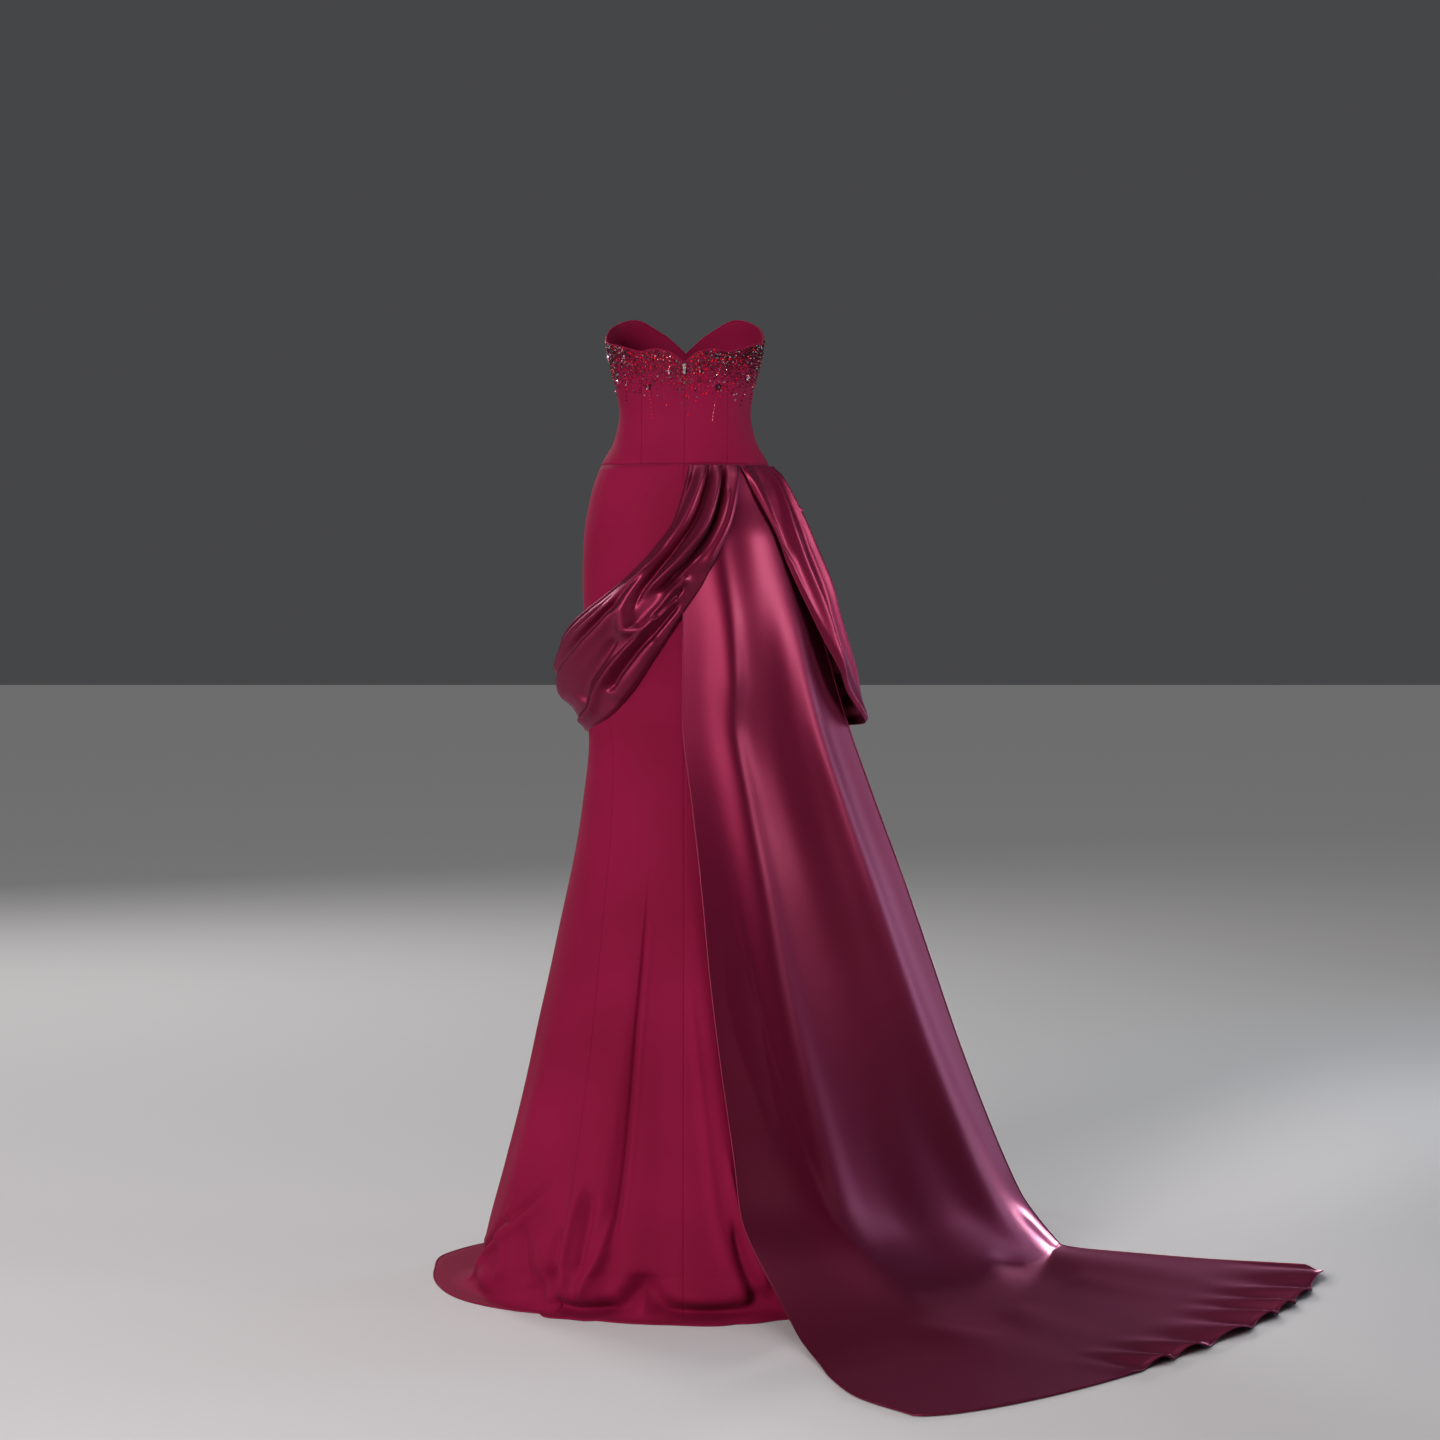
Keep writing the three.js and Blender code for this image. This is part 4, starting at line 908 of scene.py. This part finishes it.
def beadPlaces(angles, drops, out):
    # a matrix for each bead that stands it on the cloth, its z axis outwards
    angles, drops = np.atleast_1d(angles).astype(float), np.atleast_1d(drops).astype(float)
    heights = topHeight(angles) - drops
    points = toFrame(gownPoint(angles, heights, out))
    beside = toFrame(gownPoint(angles + 1, heights, out)) - points
    above = toFrame(gownPoint(angles, heights + 2, out)) - points
    places = []
    for point, right, up in zip(points, beside, above):
        right = Vector(right).normalized()
        outward = right.cross(Vector(up)).normalized()
        turn = Matrix((right, outward.cross(right), outward)).transposed().to_4x4()
        places.append(Matrix.Translation(Vector(point)) @ turn)
    return places


def beadMesh(name, lift, makeShape, **sizes):
    # a shape one metre wide that stands on the cloth
    bm = bmesh.new()
    makeShape(bm, **sizes)
    bmesh.ops.translate(bm, verts=bm.verts, vec=(0, 0, lift))
    return meshFrom(bm, name)


def addCopy(bm, shape, place, width, length, height):
    copied = shape.copy()
    copied.transform(place @ Matrix.Diagonal((width, length, height, 1)))
    bm.from_mesh(copied)
    bpy.data.meshes.remove(copied)


def glassMaterial(name, colour, metallic, roughness):
    shade = tuple(channel * 0.55 for channel in colour)
    surface = {"Metallic": metallic, "Roughness": roughness, "Specular IOR Level": 0.7}
    finish = {"shade": shade, "light": colour, "grain": (900, 260), "surface": surface}
    return grainedMaterial(name, finish, 0.3, 0.7)


def scatterBeads(rng, wanted, apart, full, fading, limit):
    # angles and drops, thinning downwards, no two closer than apart
    kept, spots = np.empty((0, 3)), []
    tries = beading["tries"]
    for _ in range(beading["rounds"]):
        angle = rng.uniform(-180, 180, tries)
        drop = rng.uniform(beading["leastDrop"], limit, tries)
        near = rng.uniform(0, 1, tries) < np.exp(-np.maximum(0, drop - full) / fading)
        angle, drop = angle[near], drop[near]
        for a, d, place in zip(angle, drop, gownPoint(angle, topHeight(angle) - drop)):
            if len(kept) and np.min(np.sum((kept - place) ** 2, axis=1)) < apart ** 2:
                continue
            kept = np.vstack([kept, place])
            spots.append((a, d))
            if len(spots) == wanted:
                return spots
    return spots


def makeBeading():
    rng = np.random.default_rng(beading["seed"])
    meshes = {name: bmesh.new() for name in beading["finishes"]}
    kinds = list(meshes)
    bead = beadMesh("bead", 0.3, bmesh.ops.create_icosphere, subdivisions=1, radius=0.5)
    # a cut stone: a broad girdle, a small table and eight sides
    stone = beadMesh("stone", 0.5, bmesh.ops.create_cone, cap_ends=True, segments=8, radius1=0.5,
                     radius2=0.28, depth=1)

    def kindFor(angle, group):
        # red stones gather at the centre back, black and silver ones at the sides, and the front mixes them
        turn = abs(around(angle))
        onFront = turn >= beading["frontFrom"]
        sideShare = beading["frontShare"] if onFront else min(1, turn / beading["sidesFrom"])
        middle, sides = (np.array(chances) for chances in beading["chances"][group])
        weights = mix(middle, sides, sideShare)
        return kinds[rng.choice(len(kinds), p=weights / weights.sum())]

    for group in ("seeds", "stones"):
        wanted, apart, least, greatest, full, fading, limit = beading[group]
        spots = scatterBeads(rng, wanted, apart, full, fading, limit)
        places = beadPlaces([spot[0] for spot in spots], [spot[1] for spot in spots], beading["standOff"])
        for (angle, drop), place in zip(spots, places):
            size = rng.uniform(least, greatest)
            kind = kindFor(angle, group)
            spin = place @ Matrix.Rotation(rng.uniform(0, math.pi), 4, "Z")
            if group == "stones":
                length = size * rng.choice(beading["stoneLengths"])
                addCopy(meshes[kind], stone, spin, size, length, beading["stoneHeight"])
            else:
                addCopy(meshes[kind], bead, spin, size, size, size)
    for angle, drop in beading["clusters"]:
        centre = beadPlaces(angle, drop, beading["standOff"])[0]
        petals = rng.integers(*beading["petals"])
        for petal in range(petals):
            unevenness = rng.uniform(-beading["petalTurn"], beading["petalTurn"])
            turn = Matrix.Rotation(2 * math.pi * petal / petals + unevenness, 4, "Z")
            petalPlace = centre @ turn @ Matrix.Translation((0, beading["petalOut"], 0))
            kind = "jet_beads" if petal % 2 else kindFor(angle, "stones")
            addCopy(meshes[kind], stone, petalPlace, *beading["petalSize"])
        kind = "rose_stones" if petals == 4 else "silver_stones"
        addCopy(meshes[kind], stone, centre, *beading["centreSize"])
    for angle, drop, endAngle, endDrop, kind in beading["strings"]:
        share = np.linspace(0, 1, int((endDrop - drop) / beading["stringStep"]))
        for place in beadPlaces(mix(angle, endAngle, share), mix(drop, endDrop, share), beading["standOff"]):
            addCopy(meshes[kind], bead, place, *beading["stringSize"])
    for name, bm in meshes.items():
        mesh = meshFrom(bm, name)
        mesh.materials.append(glassMaterial(name + "_glass", *beading["finishes"][name]))
        piece = addObject(name, mesh)
        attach(piece, "gown")
    bpy.data.meshes.remove(bead)
    bpy.data.meshes.remove(stone)
    print("beading made")


makeBeading()

# room

room = {
    "floor": -1.305, "cameraBack": 5.0, "cameraRight": 0.0525, "cameraHeight": 1.05,
    "focalPixels": 3333, "imageSize": 1440, "horizonRow": 585,
    "floorSize": 30, "floorFinish": {"Base Color": (0.62, 0.61, 0.61, 1), "Roughness": 0.9},
    "surroundings": {"Color": (0.80, 0.81, 0.84, 1), "Strength": 0.075},
    # name: place, aim, size, spread in degrees, watts, colour
    "lights": {
        "keyFront": ((-1.9, -4.2, 0.35), (0, 0, -0.5), 1.5, 180, 150, (1.0, 0.93, 0.95)),
        "sideLeft": ((-4.0, -1.6, 0.6), (0, 0, -0.5), 1.4, 180, 36, (1.0, 0.93, 0.97)),
        "sideRight": ((3.5, 1.9, -0.4), (0.3, 0, -0.6), 1.3, 180, 27, (0.62, 0.84, 1.0)),
        "hipRight": ((2.2, -0.7, 0.1), (0.1, 0, -0.1), 0.6, 50, 2.0, (1.0, 0.92, 0.98)),
        "trainFoot": ((2.2, 3.6, -0.75), (0.52, -0.15, -1.25), 0.5, 16, 0.9, (1.0, 0.94, 0.98)),
        "above": ((-0.6, -1.2, 3.2), (0, 0, -0.6), 1.6, 180, 22, (1.0, 0.97, 0.97)),
        "behind": ((-2.4, 4.6, 2.2), (0, 0, -0.6), 1.6, 180, 100, (1.0, 0.98, 0.97)),
    },
    "overhead": 0.6, "overheadSpread": 70,  # strength and spread in degrees of the even light from above
}


def makeRoom():
    bpy.context.scene.view_settings.view_transform = "Standard"
    bm = bmesh.new()
    bmesh.ops.create_grid(bm, x_segments=1, y_segments=1, size=room["floorSize"],
                          matrix=Matrix.Translation((0, 0, room["floor"])))
    floor = addObject("studio_floor", meshFrom(bm, "studio_floor"))
    material, _, _, shader = newMaterial("paleFloor")
    setInputs(shader, room["floorFinish"])
    floor.data.materials.append(material)
    world = bpy.data.worlds.new("studio")
    bpy.context.scene.world = world
    world.use_nodes = True
    setInputs(world.node_tree.nodes["Background"], room["surroundings"])
    for name, (place, aim, size, spread, watts, colour) in room["lights"].items():
        lamp = bpy.data.lights.new(name, "AREA")
        lamp.size = size
        lamp.spread = math.radians(spread)
        lamp.energy = watts
        lamp.color = colour
        light = addObject(name, lamp)
        light.location = place
        light.rotation_euler = (Vector(aim) - Vector(place)).to_track_quat("-Z", "Y").to_euler()
    lamp = bpy.data.lights.new("overhead", "SUN")
    lamp.energy = room["overhead"]
    lamp.angle = math.radians(room["overheadSpread"])
    addObject("overhead", lamp)
    data = bpy.data.cameras.new("camera")
    data.lens = data.sensor_width * room["focalPixels"] / room["imageSize"]
    data.shift_y = (room["horizonRow"] - room["imageSize"] / 2) / room["imageSize"]
    data.clip_end = 100
    camera = addObject("camera", data)
    camera.location = (room["cameraRight"], -room["cameraBack"], room["floor"] + room["cameraHeight"])
    camera.rotation_euler = (math.pi / 2, 0, 0)
    bpy.context.scene.camera = camera


makeRoom()
print("room made")
